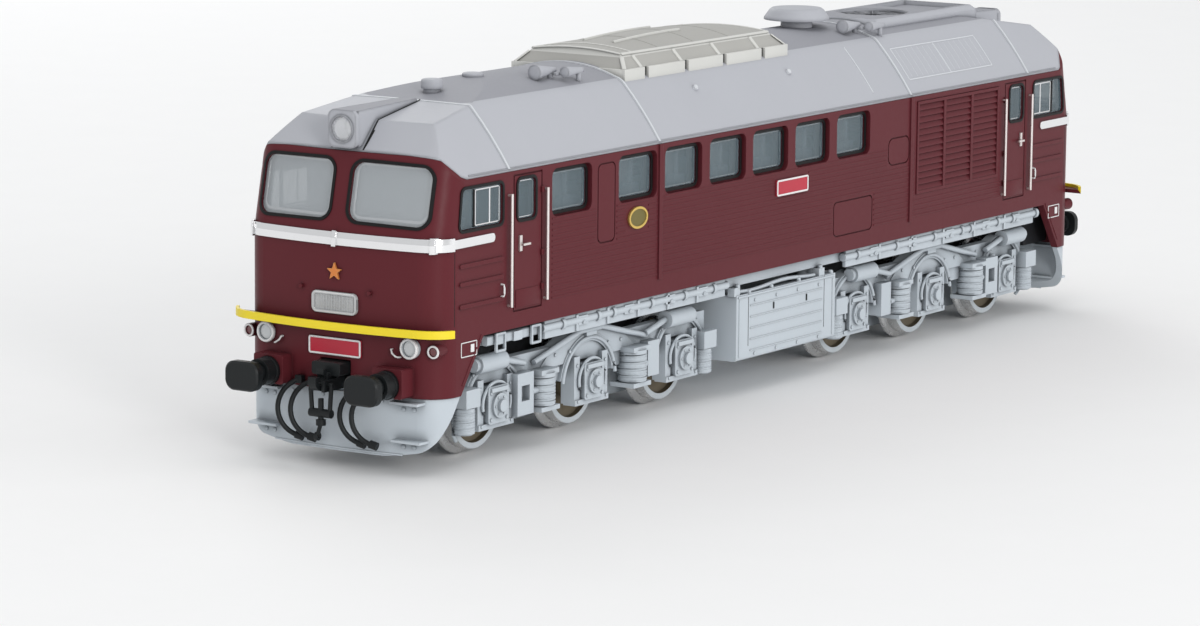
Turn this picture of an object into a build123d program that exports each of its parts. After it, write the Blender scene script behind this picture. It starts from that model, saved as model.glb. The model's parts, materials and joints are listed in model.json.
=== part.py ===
from build123d import *
import math
import os

os.makedirs("parts", exist_ok=True)

# Six-axle diesel locomotive, H0 scale (1:87). +X is forward, +Y left, +Z up.
# Every height below is measured from the top of the rail. The finished pieces are
# raised by the flange depth, so that the origin lies under the middle of the
# locomotive, level with the lowest points of the wheel flanges.

# ------------------------------------------------------------ driving dimensions
over_buffers = 201.7
half_width = 16.7
wall = 1.2
side_bottom = 17.7
skirt_bottom = 10.0
gutter = 39.7
nose_x = 92.7
nose_corner = 4.2
nose_plan_radius = 90.0
band_z = 31.2
brow_z = 42.9
brow_x = 90.2
dome_z = 46.9
dome_x = 86.0
ridge_z = 50.5

pivot_x = 49.4
axle_pitch = 24.14
wheel_r = 6.03
flange_depth = 0.9
wheel_back = 7.2
wheel_width = 2.9
axle_r = 1.0
run_gap = 0.06

gear_module = 0.5
transfer_teeth = 36
axle_teeth = 16
gear_width = 2.0
transfer_x = axle_pitch / 2
transfer_z = wheel_r + math.sqrt(
    (gear_module * (transfer_teeth + axle_teeth) / 2) ** 2 - transfer_x ** 2)
worm_pitch_r = 1.75
worm_pitch = math.pi * gear_module
motor_z = transfer_z + gear_module * transfer_teeth / 2 + worm_pitch_r

buffer_y = 10.1
buffer_z = 12.0
buffer_travel = 1.2
plate_bottom = 15.6
plate_top = 17.4
deck_half = 14.2
tank_half = 14.4
tank_side = 16.3
tank_bottom = 4.6
tank_top = 14.6
frame_in = 11.2
board_end = 90.6
hook_x = 96.6
hook_z = 11.3
link_x = hook_x - 0.6
worm_x0 = 8.0
worm_x1 = 16.1

roof_seams = (74.9, 36.5, -36.5, -74.9)
wall_seams = (36.5, -36.5)
recessed_windows = (59.4, 42.4, 30.2, 18.0, 5.9, -6.3, -18.6)
window_half = 4.45
recess_half = 5.05
recess_depth = 0.8
window_low = 32.8
window_high = 38.4
grille_x = (-64.8, -38.2)
grille_z = (24.1, 38.9)


# ------------------------------------------------------------ small helpers
def block(x0, x1, y0, y1, z0, z1, radius=0, along=None):
    """Box between two corners, with the edges parallel to one axis rounded."""
    solid = Pos((x0 + x1) / 2, (y0 + y1) / 2, (z0 + z1) / 2) * Box(x1 - x0, y1 - y0, z1 - z0)
    if radius:
        solid = fillet(solid.edges().filter_by(along), radius)
    return solid


def rod(radius, start, end):
    """Round bar between two points."""
    a, b = Vector(*start), Vector(*end)
    plane = Plane(origin=a, z_dir=b - a)
    return extrude(plane * Circle(radius), (b - a).length)


def tube(outer, inner, start, end):
    return rod(outer, start, end) - rod(inner, start, end)


def ball(radius, centre):
    return Pos(*centre) * Sphere(radius)


def side_profile(points, y0, y1):
    """Solid whose outline is given in x and z, reaching from y0 to y1."""
    face = Plane.XZ * make_face(Polyline(*points, close=True))
    return Pos(0, y1, 0) * extrude(face, y1 - y0)


def both_sides(solid):
    return [solid, mirror(solid, Plane.XZ)]


def both_ends(solids):
    return list(solids) + [mirror(s, Plane.YZ) for s in solids]


def turned(solids):
    """The same pieces again, turned half round the vertical centre line."""
    return list(solids) + [Rot(0, 0, 180) * s for s in solids]


def fused(solids):
    solids = list(solids)
    result = solids[0]
    if len(solids) > 1:
        result = result.fuse(*solids[1:])
    return result


def save(name, solids):
    """Write one node: a single solid, or a group of separate ones."""
    pieces = []
    for shape in solids if isinstance(solids, (list, tuple)) else [solids]:
        pieces += shape.solids()
    raised = [Pos(0, 0, flange_depth) * piece for piece in pieces]
    whole = raised[0] if len(raised) == 1 else Compound(children=raised)
    export_step(whole, f"parts/{name}.step")


# ------------------------------------------------------------ body form
def plan(front, width, corner):
    """Floor outline of the body: straight sides, bulged ends, rounded corners."""
    radius = nose_plan_radius
    arc_centre = front - radius
    cx = arc_centre + math.sqrt((radius - corner) ** 2 - (width - corner) ** 2)
    cy = width - corner
    lean = math.atan2(cy, cx - arc_centre)
    tx = arc_centre + radius * math.cos(lean)
    ty = radius * math.sin(lean)
    half = (lean + math.pi / 2) / 2
    mx = cx + corner * math.cos(half)
    my = cy + corner * math.sin(half)
    edges = [
        Line((-cx, -width), (cx, -width)),
        ThreePointArc((cx, -width), (mx, -my), (tx, -ty)),
        ThreePointArc((tx, -ty), (front, 0), (tx, ty)),
        ThreePointArc((tx, ty), (mx, my), (cx, width)),
        Line((cx, width), (-cx, width)),
        ThreePointArc((-cx, width), (-mx, my), (-tx, ty)),
        ThreePointArc((-tx, ty), (-front, 0), (-tx, -ty)),
        ThreePointArc((-tx, -ty), (-mx, -my), (-cx, -width)),
    ]
    return make_face(edges)


def cross_section(inset):
    """Outline across the body in y and z, moved inwards by inset."""
    w = half_width - inset
    left = [
        Line((w, 0), (w, gutter - inset / 2)),
        ThreePointArc((w, gutter - inset / 2), (w - 2.6, 43.4 - inset * 0.8), (w - 6.6, 48.1 - inset)),
        ThreePointArc((w - 6.6, 48.1 - inset), (w - 7.2, 48.55 - inset), (w - 8.0, 48.85 - inset)),
    ]
    right = [mirror(edge, Plane.YZ) for edge in left]
    top = ThreePointArc((w - 8.0, 48.85 - inset), (0, ridge_z - inset), (-w + 8.0, 48.85 - inset))
    floor = Line((-w, 0), (w, 0))
    return Plane.YZ * make_face(left + right + [top, floor])


def body_form(inset):
    """The whole closed form of body and roof, moved inwards by inset."""
    levels = [
        (skirt_bottom - 1, nose_x, nose_corner),
        (band_z, nose_x, nose_corner),
        (brow_z, brow_x, nose_corner),
        (dome_z - inset * 0.6, dome_x - inset * 0.6, 6.5),
        (ridge_z + 1.0, 54.0, 8.0),
    ]
    stack = []
    for (z0, x0, r0), (z1, x1, r1) in zip(levels, levels[1:]):
        lower = Pos(0, 0, z0) * plan(x0 - inset, half_width - inset, r0 - inset * 0.5)
        upper = Pos(0, 0, z1) * plan(x1 - inset, half_width - inset, r1 - inset * 0.5)
        stack.append(loft([lower, upper], ruled=True))
    tower = fused(stack)
    length = extrude(cross_section(inset), 100, both=True)
    return tower & length


def below_roof_line(offset=0):
    """Everything under the seam between body side and roof."""
    low, high = gutter + offset, brow_z + offset
    half = [
        Line((0, low), (85.2, low)),
        Line((85.2, low), (86.2, low + 0.35)),
        Line((86.2, low + 0.35), (88.6, high - 0.5)),
        Line((88.6, high - 0.5), (89.6, high)),
        Line((89.6, high), (99, high)),
        Line((99, high), (99, 0)),
        Line((99, 0), (0, 0)),
        Line((0, 0), (0, low)),
    ]
    side = Plane.XZ * make_face(half)
    solid = extrude(side, 25, both=True)
    return fused([solid, mirror(solid, Plane.YZ)])


def slanted_window(grow=0):
    """Cab side window: its front edge follows the leaning nose."""
    g = grow
    points = [(76.7 - g, window_low - g), (87.0 + g, window_low - g),
              (86.3 + g, window_high + g), (76.7 - g, window_high + g)]
    solid = side_profile(points, 10, 20)
    return fillet(solid.edges().filter_by(Axis.Y), 0.7 + g)


def side_openings(grow=0):
    """Window openings of the left side."""
    g = grow
    cuts = []
    for x0, x1 in ((68.6, 73.0), (-73.0, -68.6)):
        cuts.append(block(x0 - g, x1 + g, 10, 20, window_low - g, window_high + g, 0.8 + g, Axis.Y))
    cuts.append(slanted_window(g))
    cuts.append(mirror(slanted_window(g), Plane.YZ))
    return cuts


def recessed_openings(grow=0):
    """Openings of the windows that stand at the bottom of a pressed recess."""
    g = grow
    cuts = []
    for x in recessed_windows:
        half = window_half + g
        cuts.append(block(x - half, x + half, 10, 20, window_low - g, window_high + g, 0.8 + g, Axis.Y))
    return cuts


nose_lean = math.degrees(math.atan2(nose_x - brow_x, brow_z - band_z))


def leaning(solid, low_z):
    """Tip a front-face piece back by the lean of the windscreen face."""
    return Pos(nose_x, 0, low_z) * Rot(0, -nose_lean, 0) * Pos(-nose_x, 0, -low_z) * solid


def windscreen_opening(grow=0, depth=(86, 97)):
    g = grow
    solid = block(depth[0], depth[1], 1.6 - g, 14.2 + g, 33.7 - g, 41.9 + g, 1.7 + g, Axis.X)
    return leaning(solid, band_z)


outer = body_form(0)
inner = body_form(wall)


# ------------------------------------------------------------ body shell
def body_shell():
    solid = (outer & below_roof_line()) - inner
    solid -= inner & block(-95, 95, -20, 20, 5, 20)
    # The sides end at the sill; only the cabs keep a skirt, cut back on a slant.
    slant = [(-81.1, side_bottom), (81.1, side_bottom), (86.4, skirt_bottom),
             (86.4, 5), (-86.4, 5), (-86.4, skirt_bottom)]
    solid -= side_profile(slant, -20, 20)
    solid -= block(-100, 100, -20, 20, 0, skirt_bottom)
    for cut in side_openings() + recessed_openings():
        solid -= fused(both_sides(cut))
    for x in recessed_windows:
        recess = block(x - recess_half, x + recess_half, half_width - recess_depth, 20,
                       window_low - 0.6, window_high + 0.6, 1.2, Axis.Y)
        solid -= fused(both_sides(recess))
    screens = both_ends(both_sides(windscreen_opening()))
    solid -= fused(screens)
    # Louvre panels stand in openings at the rear of both sides.
    panel = block(grille_x[0], grille_x[1], half_width - 0.7, 20, grille_z[0], grille_z[1])
    solid -= fused(both_sides(panel))
    raised = []
    for x in wall_seams:
        raised.append(block(x - 0.45, x + 0.45, half_width - 0.2, half_width + 0.22, 20.0, gutter))
    # Pressed ribs on the cab sides below the windows.
    for x0, x1 in ((76.5, 87.0), (-87.0, -76.5)):
        for z in (27.9, 25.4, 22.3):
            rib = block(x0, x1, half_width - 0.2, half_width + 0.2, z - 0.3, z + 0.3, 0.28, Axis.Y)
            raised.append(rib)
    # Doors: a shallow groove round each.
    for x0, x1 in ((66.9, 74.0), (-74.0, -66.9)):
        edge = block(x0, x1, half_width - 0.25, half_width + 1, 20.0, 39.2)
        edge -= block(x0 + 0.25, x1 - 0.25, 10, 20, 20.25, 38.95)
        solid -= fused(both_sides(edge))
    # Two inspection panels and the filter housing low down on the side.
    for x0, x1, z0, z1, r in ((-36.0, -29.3, 29.5, 33.9, 1.4), (-24.7, -12.8, 20.2, 25.7, 1.0),
                              (48.3, 52.9, 27.0, 38.5, 1.0)):
        edge = block(x0, x1, half_width - 0.22, half_width + 1, z0, z1, r, Axis.Y)
        edge -= block(x0 + 0.22, x1 - 0.22, 10, 20, z0 + 0.22, z1 - 0.22, r - 0.2, Axis.Y)
        solid -= fused(both_sides(edge))
    solid = solid.fuse(*raised, *[mirror(r, Plane.XZ) for r in raised])
    # Buffer boxes on the nose.
    for box_part in both_ends(both_sides(block(90.5, 94.6, 7.6, 12.6, 10.2, 14.3, 0.4, Axis.X))):
        solid += box_part
    for hole in both_ends(both_sides(rod(2.05, (88, buffer_y, buffer_z), (99, buffer_y, buffer_z)))):
        solid -= hole
    for hole in both_ends([block(88, 96, -2.6, 2.6, 9, 14.4)]):
        solid -= hole
    return solid


def roof_shell():
    solid = outer - inner - below_roof_line(0.05)
    # Weld seams across the roof.
    swollen = body_form(-0.15)
    for x in roof_seams:
        solid += (swollen & block(x - 0.2, x + 0.2, -20, 20, gutter + 0.4, 60)) - inner
    solid -= rod(2.6, (-28.8, 0, 40), (-28.8, 0, 60))
    fan_hole = rod(6.0, (-52.5, 0, 40), (-52.5, 0, 60))
    return solid - fan_hole


def windows():
    """Clear mouldings: side strips with raised panes, and the windscreens."""
    strips = []
    y0 = half_width - wall - 0.75
    spans = ((55.0, 87.6), (-22.8, 48.0), (-87.6, -67.6))
    back = half_width - wall - 0.1
    flush = fused(side_openings(-0.06)) & block(-95, 95, back, half_width - 0.25, 30, 40)
    deep = fused(recessed_openings(-0.06)) & block(-95, 95, back, half_width - recess_depth - 0.1, 30, 40)
    limit = body_form(wall + 0.06)
    for x0, x1 in spans:
        strip = block(x0, x1, y0, half_width - wall - 0.05, 31.9, gutter - 1.0, 0.5, Axis.Y) & limit
        near = block(x0, x1, 10, 20, 30, 40)
        strips += both_sides(fused([strip, flush & near, deep & near]))
    nose_glass = []
    for s in both_sides(windscreen_opening(-0.06)):
        nose_glass.append((s & body_form(0.3)) - body_form(0.9))
    return strips + both_ends(nose_glass)


def window_seals():
    """Rubber seals round every window, standing just proud of the wall."""
    rings = []
    skin = block(-95, 95, half_width, half_width + 0.14, 30, 40)
    for big, small in zip(side_openings(0.38), side_openings(-0.02)):
        rings += both_sides((big & skin) - small)
    floor = half_width - recess_depth
    skin = block(-95, 95, floor, floor + 0.16, 30, 40)
    for big, small in zip(recessed_openings(0.4), recessed_openings(-0.02)):
        rings += both_sides((big & skin) - small)
    nose_skin = body_form(-0.14) - outer
    ring = (nose_skin & windscreen_opening(0.42)) - windscreen_opening(-0.02)
    return rings + both_ends(both_sides(ring))


def trim_bands():
    """Bright band round each nose, with clips at the middle and the corners."""
    shell = body_form(-0.3) - outer
    band = shell & block(88.3, 99, -20, 20, 30.2, 32.0)
    band += shell & block(78.8, 95, -20, 20, 30.5, 31.75, 0.6, Axis.Y)
    clips = body_form(-0.55) - outer
    clip_boxes = [block(88, 99, -0.35, 0.35, 30.0, 32.2)]
    for y in (-15.3, 15.3):
        clip_boxes.append(block(86, 99, y - 0.3, y + 0.3, 30.0, 32.2))
    return both_ends([fused([band] + [clips & b for b in clip_boxes])])


def door_handrails():
    rails = []
    y = half_width + 0.6
    for x in (75.2, 66.4):
        bar = rod(0.22, (x, y, 20.9), (x, y, 36.7))
        feet = [rod(0.18, (x, half_width, z), (x, y, z)) for z in (21.1, 36.5)]
        rails.append(fused([bar] + feet))
    x = 72.4
    plate = block(x - 0.3, x + 0.3, half_width, half_width + 0.25, 28.4, 30.6)
    stem = block(x - 0.15, x + 0.15, half_width + 0.2, half_width + 0.7, 29.2, 29.5)
    lever = block(x - 1.6, x + 0.15, half_width + 0.5, half_width + 0.8, 29.2, 29.5)
    left = rails + [fused([plate, stem, lever])]
    return both_ends(left + [mirror(s, Plane.XZ) for s in left])


# ------------------------------------------------------------ nose fittings
def headlight_housings():
    tip = Plane(origin=(75.4, 0, 48.2), z_dir=(1, 0, 0)) * Rectangle(1.2, 2.6)
    face_plane = Plane(origin=(91.2, 0, 46.0), z_dir=(1, 0, 0))
    slab = extrude(face_plane.offset(-0.8) * RectangleRounded(5.2, 4.7, 1.0), 0.8)
    rear = Plane(origin=(90.4, 0, 46.0), z_dir=(1, 0, 0)) * Rectangle(5.0, 4.5)
    rear_box = loft([tip, rear], ruled=True)
    solid = fused([rear_box, slab]) - outer
    solid -= extrude(face_plane.offset(-1.6) * Circle(1.75), 3)
    return both_ends([solid])


def headlight_lenses():
    lens = rod(1.68, (89.7, 0, 46.0), (91.1, 0, 46.0))
    lens = fillet(lens.edges().group_by(Axis.X)[-1], 0.5)
    return both_ends([lens])


def nose_surface_x(y):
    """How far forward the lower nose stands at a distance y from its middle."""
    return nose_x - nose_plan_radius + math.sqrt(nose_plan_radius ** 2 - y ** 2)


def signal_lamps():
    """Round marker lamps, and the smaller tail lamps out on the corners."""
    lamps = []
    y, z = 12.2, 16.92
    x = nose_surface_x(y)
    ring = tube(1.42, 1.05, (x - 0.4, y, z), (x + 0.7, y, z)) - outer
    glass = rod(1.0, (x - 0.4, y, z), (x + 0.45, y, z)) - outer
    tail_body = rod(0.95, (87.0, 15.2, 16.7), (91.6, 15.7, 16.7)) - outer
    tail_body -= rod(0.6, (91.2, 15.65, 16.7), (92.0, 15.75, 16.7))
    tail_glass = rod(0.55, (91.22, 15.66, 16.7), (91.5, 15.69, 16.7))
    for piece in (ring, glass, tail_body, tail_glass):
        lamps += both_sides(piece)
    return both_ends(lamps)


def footboards():
    board = body_form(-2.3) - outer
    board &= block(board_end, 99, -20, 20, 18.7, 19.3)
    lip = (body_form(-2.3) - body_form(-1.9)) & block(board_end, 99, -20, 20, 18.95, 19.8)
    return both_ends([fused([board, lip])])


def number_plates():
    """Plain rectangular plates, with no marks: nose, and the middle of each side."""
    nose = (body_form(-0.25) - outer) & block(88, 99, -4.4, 4.4, 14.9, 17.3)
    side = block(-4.7, 4.3, half_width, half_width + 0.25, 28.5, 30.9)
    return both_ends([nose]) + both_sides(side)


def side_emblems():
    """Plain oval badge with a raised rim."""
    plane = Plane(origin=(42.6, half_width, 29.7), x_dir=(1, 0, 0), z_dir=(0, 1, 0))
    oval = extrude(plane * Ellipse(2.45, 1.6), 0.2)
    rim = extrude(plane * (Ellipse(2.45, 1.6) - Ellipse(2.1, 1.25)), 0.32)
    return both_sides(fused([oval, rim]))


def star_points(radius, count=5, waist=0.42):
    points = []
    for i in range(2 * count):
        r = radius if i % 2 == 0 else radius * waist
        a = math.pi / 2 + i * math.pi / count
        points.append((r * math.cos(a), r * math.sin(a)))
    return points


def nose_fittings():
    """Star, white-framed cable cover, and two lifting lugs on each nose."""
    plane = Plane(origin=(nose_x - 0.05, 0, 26.5), x_dir=(0, 1, 0), z_dir=(1, 0, 0))
    star = extrude(plane * make_face(Polyline(*star_points(1.25), close=True)), 0.4)
    cover = block(nose_x - 0.2, nose_x + 0.35, -3.8, 3.8, 20.7, 23.7, 0.8, Axis.X)
    recess = block(nose_x + 0.15, nose_x + 1, -3.4, 3.4, 21.1, 23.3)
    cover = (cover - recess) - outer
    lugs = [rod(0.3, (92.2, y, 24.0), (93.0, y, 24.0)) - outer for y in (-5.8, 5.8)]
    return both_ends([star - outer, cover] + lugs)


def snow_plough():
    """Front pilot plate below the buffer beam, swept back round the corners."""
    outside = body_form(0.15).fuse(Pos(0, 0, -9) * body_form(0.15))
    inside = body_form(1.05).fuse(Pos(0, 0, -9) * body_form(1.05))
    plate = (outside - inside) & block(80, 99, -20, 20, 1.6, skirt_bottom - 0.05)
    side = [(86.4, skirt_bottom), (99, skirt_bottom), (99, 1.6), (92.2, 1.6), (90.4, 3.9)]
    plate &= side_profile(side, -20, 20)
    front = [(-17, 10), (17, 10), (17, 4.4), (13.2, 1.6), (-13.2, 1.6), (-17, 4.4)]
    cut = Plane.YZ * make_face(Polyline(*front, close=True))
    plate &= extrude(cut, 99)
    steps = []
    for y0, y1, z in ((9.5, 14.2, 9.2), (9.8, 14.6, 3.9), (-14.2, -9.5, 9.2), (-14.6, -9.8, 3.9)):
        steps.append(block(90.4, 93.3, y0, y1, z, z + 0.35))
    rib = block(90.6, 91.8, -0.3, 0.3, 2.0, 9.6)
    tabs = [block(87.5, 91.8, y - 1.2, y + 1.2, 9.2, skirt_bottom - 0.05) for y in (-6, 6)]
    return fused([plate, rib] + steps + tabs)


def brake_hoses():
    """Short moulded hoses, each one arc, with a coupling head at the lower end."""
    hoses = []
    for y in (6.2, 4.2, -4.2, -6.4):
        start, end = (93.1, y + 0.7, 11.0), (94.0, y + 1.1, 3.3)
        path = ThreePointArc(start, (95.1, y - 1.7, 7.0), end)
        hose = sweep(Plane(origin=start, z_dir=path % 0) * Circle(0.36), path=path)
        head = rod(0.58, (94.1, y + 0.7, 3.45), (93.9, y + 1.8, 3.15))
        tap = block(92.78, 93.6, y + 0.15, y + 1.25, 10.5, 11.6)
        hoses.append(fused([hose, head, tap]) - outer)
    return turned(hoses)


def buffer_sleeves():
    """Fixed sleeve with a base flange; the plunger runs inside it."""
    base = 94.6
    sleeve = tube(1.9, 1.4, (base - 3.2, buffer_y, buffer_z), (base + 2.4, buffer_y, buffer_z))
    flange = tube(2.0, 1.4, (base, buffer_y, buffer_z), (base + 0.5, buffer_y, buffer_z))
    back = rod(1.9, (base - 3.7, buffer_y, buffer_z), (base - 3.2, buffer_y, buffer_z))
    return both_ends(both_sides(fused([sleeve, flange, back])))


def buffer_plunger():
    """Front left buffer head with its plunger."""
    front = over_buffers / 2
    head = block(front - 1.3, front, buffer_y - 2.85, buffer_y + 2.85, buffer_z - 2.05,
                 buffer_z + 2.05, 1.5, Axis.X)
    head = chamfer(head.edges().group_by(Axis.X)[-1], 0.25)
    stem = rod(1.3, (92.9, buffer_y, buffer_z), (front - 1.2, buffer_y, buffer_z))
    boss = rod(1.75, (front - 2.0, buffer_y, buffer_z), (front - 1.2, buffer_y, buffer_z))
    return fused([head, stem, boss])


def coupling_hooks():
    """Draw hook with its bracket, fixed in the middle of the buffer beam."""
    bracket = block(90.4, 94.9, -2.4, 2.4, 12.4, 14.2, 0.4, Axis.X)
    shank = block(86.0, 95.5, -0.75, 0.75, 11.2, 12.8)
    jaw = tube(1.5, 0.75, (hook_x, -0.6, 12.0), (hook_x, 0.6, 12.0))
    jaw -= block(hook_x - 0.3, hook_x + 3, -1, 1, 12.5, 14)
    cheeks = [block(92.5, hook_x + 0.45, y - 0.25, y + 0.25, 10.4, 12.0) for y in (-1.1, 1.1)]
    pin_holes = rod(0.42, (link_x, -3, hook_z), (link_x, 3, hook_z))
    bridge = block(92.5, 94.0, -1.35, 1.35, 11.0, 12.6)
    solid = fused([bracket, shank, jaw, bridge] + cheeks) - pin_holes
    return both_ends([solid])


def screw_link():
    """Screw coupling hanging from the front hook: pin, two side plates, screw, handle."""
    pin = rod(0.36, (link_x, -2.1, hook_z), (link_x, 2.1, hook_z))
    arms = []
    for side in (-1, 1):
        arms.append(rod(0.32, (link_x, side * 1.78, hook_z), (link_x, side * 1.5, 7.3)))
    nut = rod(0.6, (link_x, -1.8, 7.3), (link_x, 1.8, 7.3))
    screw = rod(0.4, (link_x, 0, 9.3), (link_x, 0, 5.9))
    weight = rod(0.7, (link_x, 0, 6.4), (link_x, 0, 5.6))
    handle = rod(0.3, (link_x, 0, 5.9), (link_x, -0.5, 4.4))
    loop = tube(0.6, 0.3, (link_x, -0.85, 4.0), (link_x, -0.35, 4.0))
    return fused([pin, nut, screw, weight, handle, loop] + arms)


# ------------------------------------------------------------ roof fittings
def roof_hatch():
    base = block(-9.7, 35.8, -10.0, 10.0, 46.5, 51.2)
    base = chamfer(base.edges().group_by(Axis.Z)[-1], 1.5)
    slab = block(-8.4, 32.6, -7.4, 7.4, 50.5, 52.1)
    slab = chamfer(slab.edges().group_by(Axis.Z)[-1], 0.8)
    crown_line = [
        Line((-7.2, 51.0), (28.5, 51.0)),
        Line((28.5, 51.0), (26.0, 53.0)),
        ThreePointArc((26.0, 53.0), (9.0, 53.2), (-7.2, 52.0)),
        Line((-7.2, 52.0), (-7.2, 51.0)),
    ]
    crown = extrude(Plane.XZ * make_face(crown_line), 5.2, both=True)
    solid = fused([base, slab, crown])
    for x in (29.9, 19.0, 8.4, -2.6):
        for s in (-1, 1):
            gap = Pos(x, s * 9.7, 50.2) * Box(1.1, 1.7, 2.2)
            rib = Pos(x + 0.9, s * 8.2, 51.2) * Box(0.5, 2.0, 0.9)
            solid = (solid - gap) + rib
    return solid - outer


def exhaust_cap():
    x = -28.8
    neck = rod(2.5, (x, 0, 48.0), (x, 0, 51.9))
    profile = [(0, 51.6), (5.15, 51.6), (5.15, 51.9), (4.3, 53.1), (3.9, 53.4), (0, 53.4)]
    cap = revolve(Plane.XZ * make_face(Polyline(*profile, close=True)), Axis.Z)
    return fused([neck, Pos(x, 0, 0) * cap])


def roof_vents():
    vents = []
    for x in (70.0, 60.0):
        stem = rod(1.2, (x, 0, 47.5), (x, 0, 50.0))
        cap = rod(1.55, (x, 0, 49.7), (x, 0, 51.0))
        cap = fillet(cap.edges().group_by(Axis.Z)[-1], 0.35)
        vents.append(fused([stem, cap]) - outer)
    return vents


def horns():
    """Two pairs of air horns, a long and a short one on a shared feed pipe."""
    sets = []
    for x, y, z in ((53.5, 6.1, 50.8), (-31.0, 7.0, 50.6)):
        near_x, far_x = x - 4.0, x - 8.2
        pipe_y, far_y = y + 1.05, y + 2.1
        pipe_z = z - 0.5
        long_bell = Pos(x - 2.6, y, z) * Rot(0, 90, 0) * Cone(0.36, 1.1, 5.2)
        short_bell = Pos(x - 6.9, far_y, z - 0.2) * Rot(0, 90, 0) * Cone(0.34, 0.8, 4.6)
        near_post = rod(0.42, (near_x, y, 47.6), (near_x, y, z))
        far_post = rod(0.36, (far_x, far_y, 47.6), (far_x, far_y, z - 0.2))
        pipe = rod(0.22, (far_x - 0.3, pipe_y, pipe_z), (near_x + 0.3, pipe_y, pipe_z))
        near_arm = rod(0.18, (near_x, y, pipe_z), (near_x, pipe_y, pipe_z))
        far_arm = rod(0.18, (far_x, pipe_y, pipe_z), (far_x, far_y, pipe_z))
        sets.append(fused([long_bell, near_post, near_arm, pipe, far_arm, far_post, short_bell]) - outer)
    return sets


def radiator_housing():
    """Raised curb over the cooling plant, with a round fan opening."""
    curb = block(-74.0, -41.5, -7.2, 7.2, 46.0, 50.9)
    curb = chamfer(curb.edges().group_by(Axis.Z)[-1], 0.8)
    curb -= outer
    curb -= rod(5.6, (-52.5, 0, 40), (-52.5, 0, 60))
    curb -= block(-72.5, -61.5, -5.5, 5.5, 50.2, 52)
    return curb


def radiator_fan():
    """Fan wheel under its guard ring, fixed in the curb."""
    x = -52.5
    hub = rod(1.3, (x, 0, 48.2), (x, 0, 50.2))
    ring = tube(5.5, 5.0, (x, 0, 48.2), (x, 0, 50.2))
    pieces = [hub, ring]
    for i in range(8):
        blade = Pos(0, 0, 49.0) * Rot(0, 0, i * 45) * Pos(3.1, 0, 0) * Rot(28, 0, 0) * Box(4.0, 1.9, 0.3)
        pieces.append(Pos(x, 0, 0) * blade)
    for a in (0, 60, 120):
        bar = Pos(x, 0, 50.05) * Rot(0, 0, a) * Box(10.4, 0.4, 0.25)
        pieces.append(bar)
    return fused(pieces)


def side_grilles():
    """Louvre panels at the rear of both sides: three columns of sloping slats."""
    x0, x1 = grille_x[0] + 0.05, grille_x[1] - 0.05
    z0, z1 = grille_z[0] + 0.05, grille_z[1] - 0.05
    y0, y1 = half_width - 0.65, half_width + 0.15
    frame = block(x0, x1, y0, y1, z0, z1) - block(x0 + 0.5, x1 - 0.5, y0 + 0.25, 20, z0 + 0.5, z1 - 0.5)
    pieces = [frame]
    for x in (-47.0, -55.9):
        pieces.append(block(x - 0.35, x + 0.35, y0 + 0.2, y1, z0, z1))
    slats = 14
    pitch = (z1 - z0 - 1.0) / slats
    for i in range(slats):
        z = z0 + 0.5 + i * pitch
        wedge = [(y0 + 0.2, z), (y1 - 0.1, z), (y1 - 0.1, z + 0.2), (y1 - 0.42, z + pitch),
                 (y0 + 0.2, z + pitch)]
        slat = extrude(Plane.YZ * make_face(Polyline(*wedge, close=True)), x1 - x0)
        pieces.append(Pos(x0, 0, 0) * slat)
    return both_sides(fused(pieces))


# ------------------------------------------------------------ chassis
def main_frame():
    """Die-cast chassis: deck plate, end blocks, pivot bridges and motor cradle."""
    solid = block(-84, 84, -deck_half, deck_half, plate_bottom, plate_top)
    # Side sills reach out under the body edge.
    for s in both_sides(block(-79.5, 79.5, deck_half - 0.5, 15.3, 15.9, plate_top)):
        solid += s
    for end in both_ends([block(82.4, 90.2, -12.4, 12.4, 10.4, plate_top)]):
        solid += end
    # Openings for motor, flywheels and the two gear towers.
    openings = [block(-15.4, 15.4, -7.2, 7.2, 10, 20), block(15.3, 28.5, -6.4, 6.4, 10, 20)]
    well = block(pivot_x + 3.2, pivot_x + 26.5, -8.6, 8.6, 10, 20)
    well += block(pivot_x - 20, pivot_x - 6.5, -4.6, 4.6, 16.8, 20)
    openings.append(well)
    for cut in openings:
        solid -= fused(turned([cut]))
    for cut in turned([rod(2.15, (pivot_x, 0, 10), (pivot_x, 0, 20))]):
        solid -= cut
    # Motor cradle rails, and posts for the body screws.
    for s in both_sides(block(-13, 13, 7.9, 9.4, plate_top - 0.1, 25)):
        solid += s
    posts = both_ends(both_sides(rod(2.0, (33, 11.4, plate_top - 0.1), (33, 11.4, 24))))
    solid = solid.fuse(*posts)
    for hole in both_ends(both_sides(rod(0.9, (33, 11.4, 10), (33, 11.4, 30)))):
        solid -= hole
    # Sockets for buffers and hooks in the end blocks.
    for hole in both_ends(both_sides(rod(2.0, (90.0, buffer_y, buffer_z), (99, buffer_y, buffer_z)))):
        solid -= hole
    for hole in both_ends([block(85.5, 99, -0.85, 0.85, 11.1, 12.9)]):
        solid -= hole
    return solid


def underframe_equipment():
    """Air pipes, reservoirs and brackets along the sill, outside the deck plate."""
    left = []
    y = 15.35
    left.append(block(66.5, 79.6, y, 16.3, 15.9, 17.3, 0.3, Axis.X))
    left.append(rod(0.62, (17, 16.0, 16.6), (66, 16.0, 16.6)))
    left.append(rod(0.62, (-17, 16.0, 16.6), (-79, 16.0, 16.6)))
    for x in (-72, -62, -50, -38, -26, 24, 33, 44, 56):
        left.append(block(x - 1.3, x + 1.3, y - 0.05, 16.5, 15.9, 17.2, 0.25, Axis.Y))
    for x in (72.5, 76.5):
        left.append(block(x - 1, x + 1, y, 16.6, 15.9, 17.2))
    body = fused(left)
    return both_sides(body)


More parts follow.
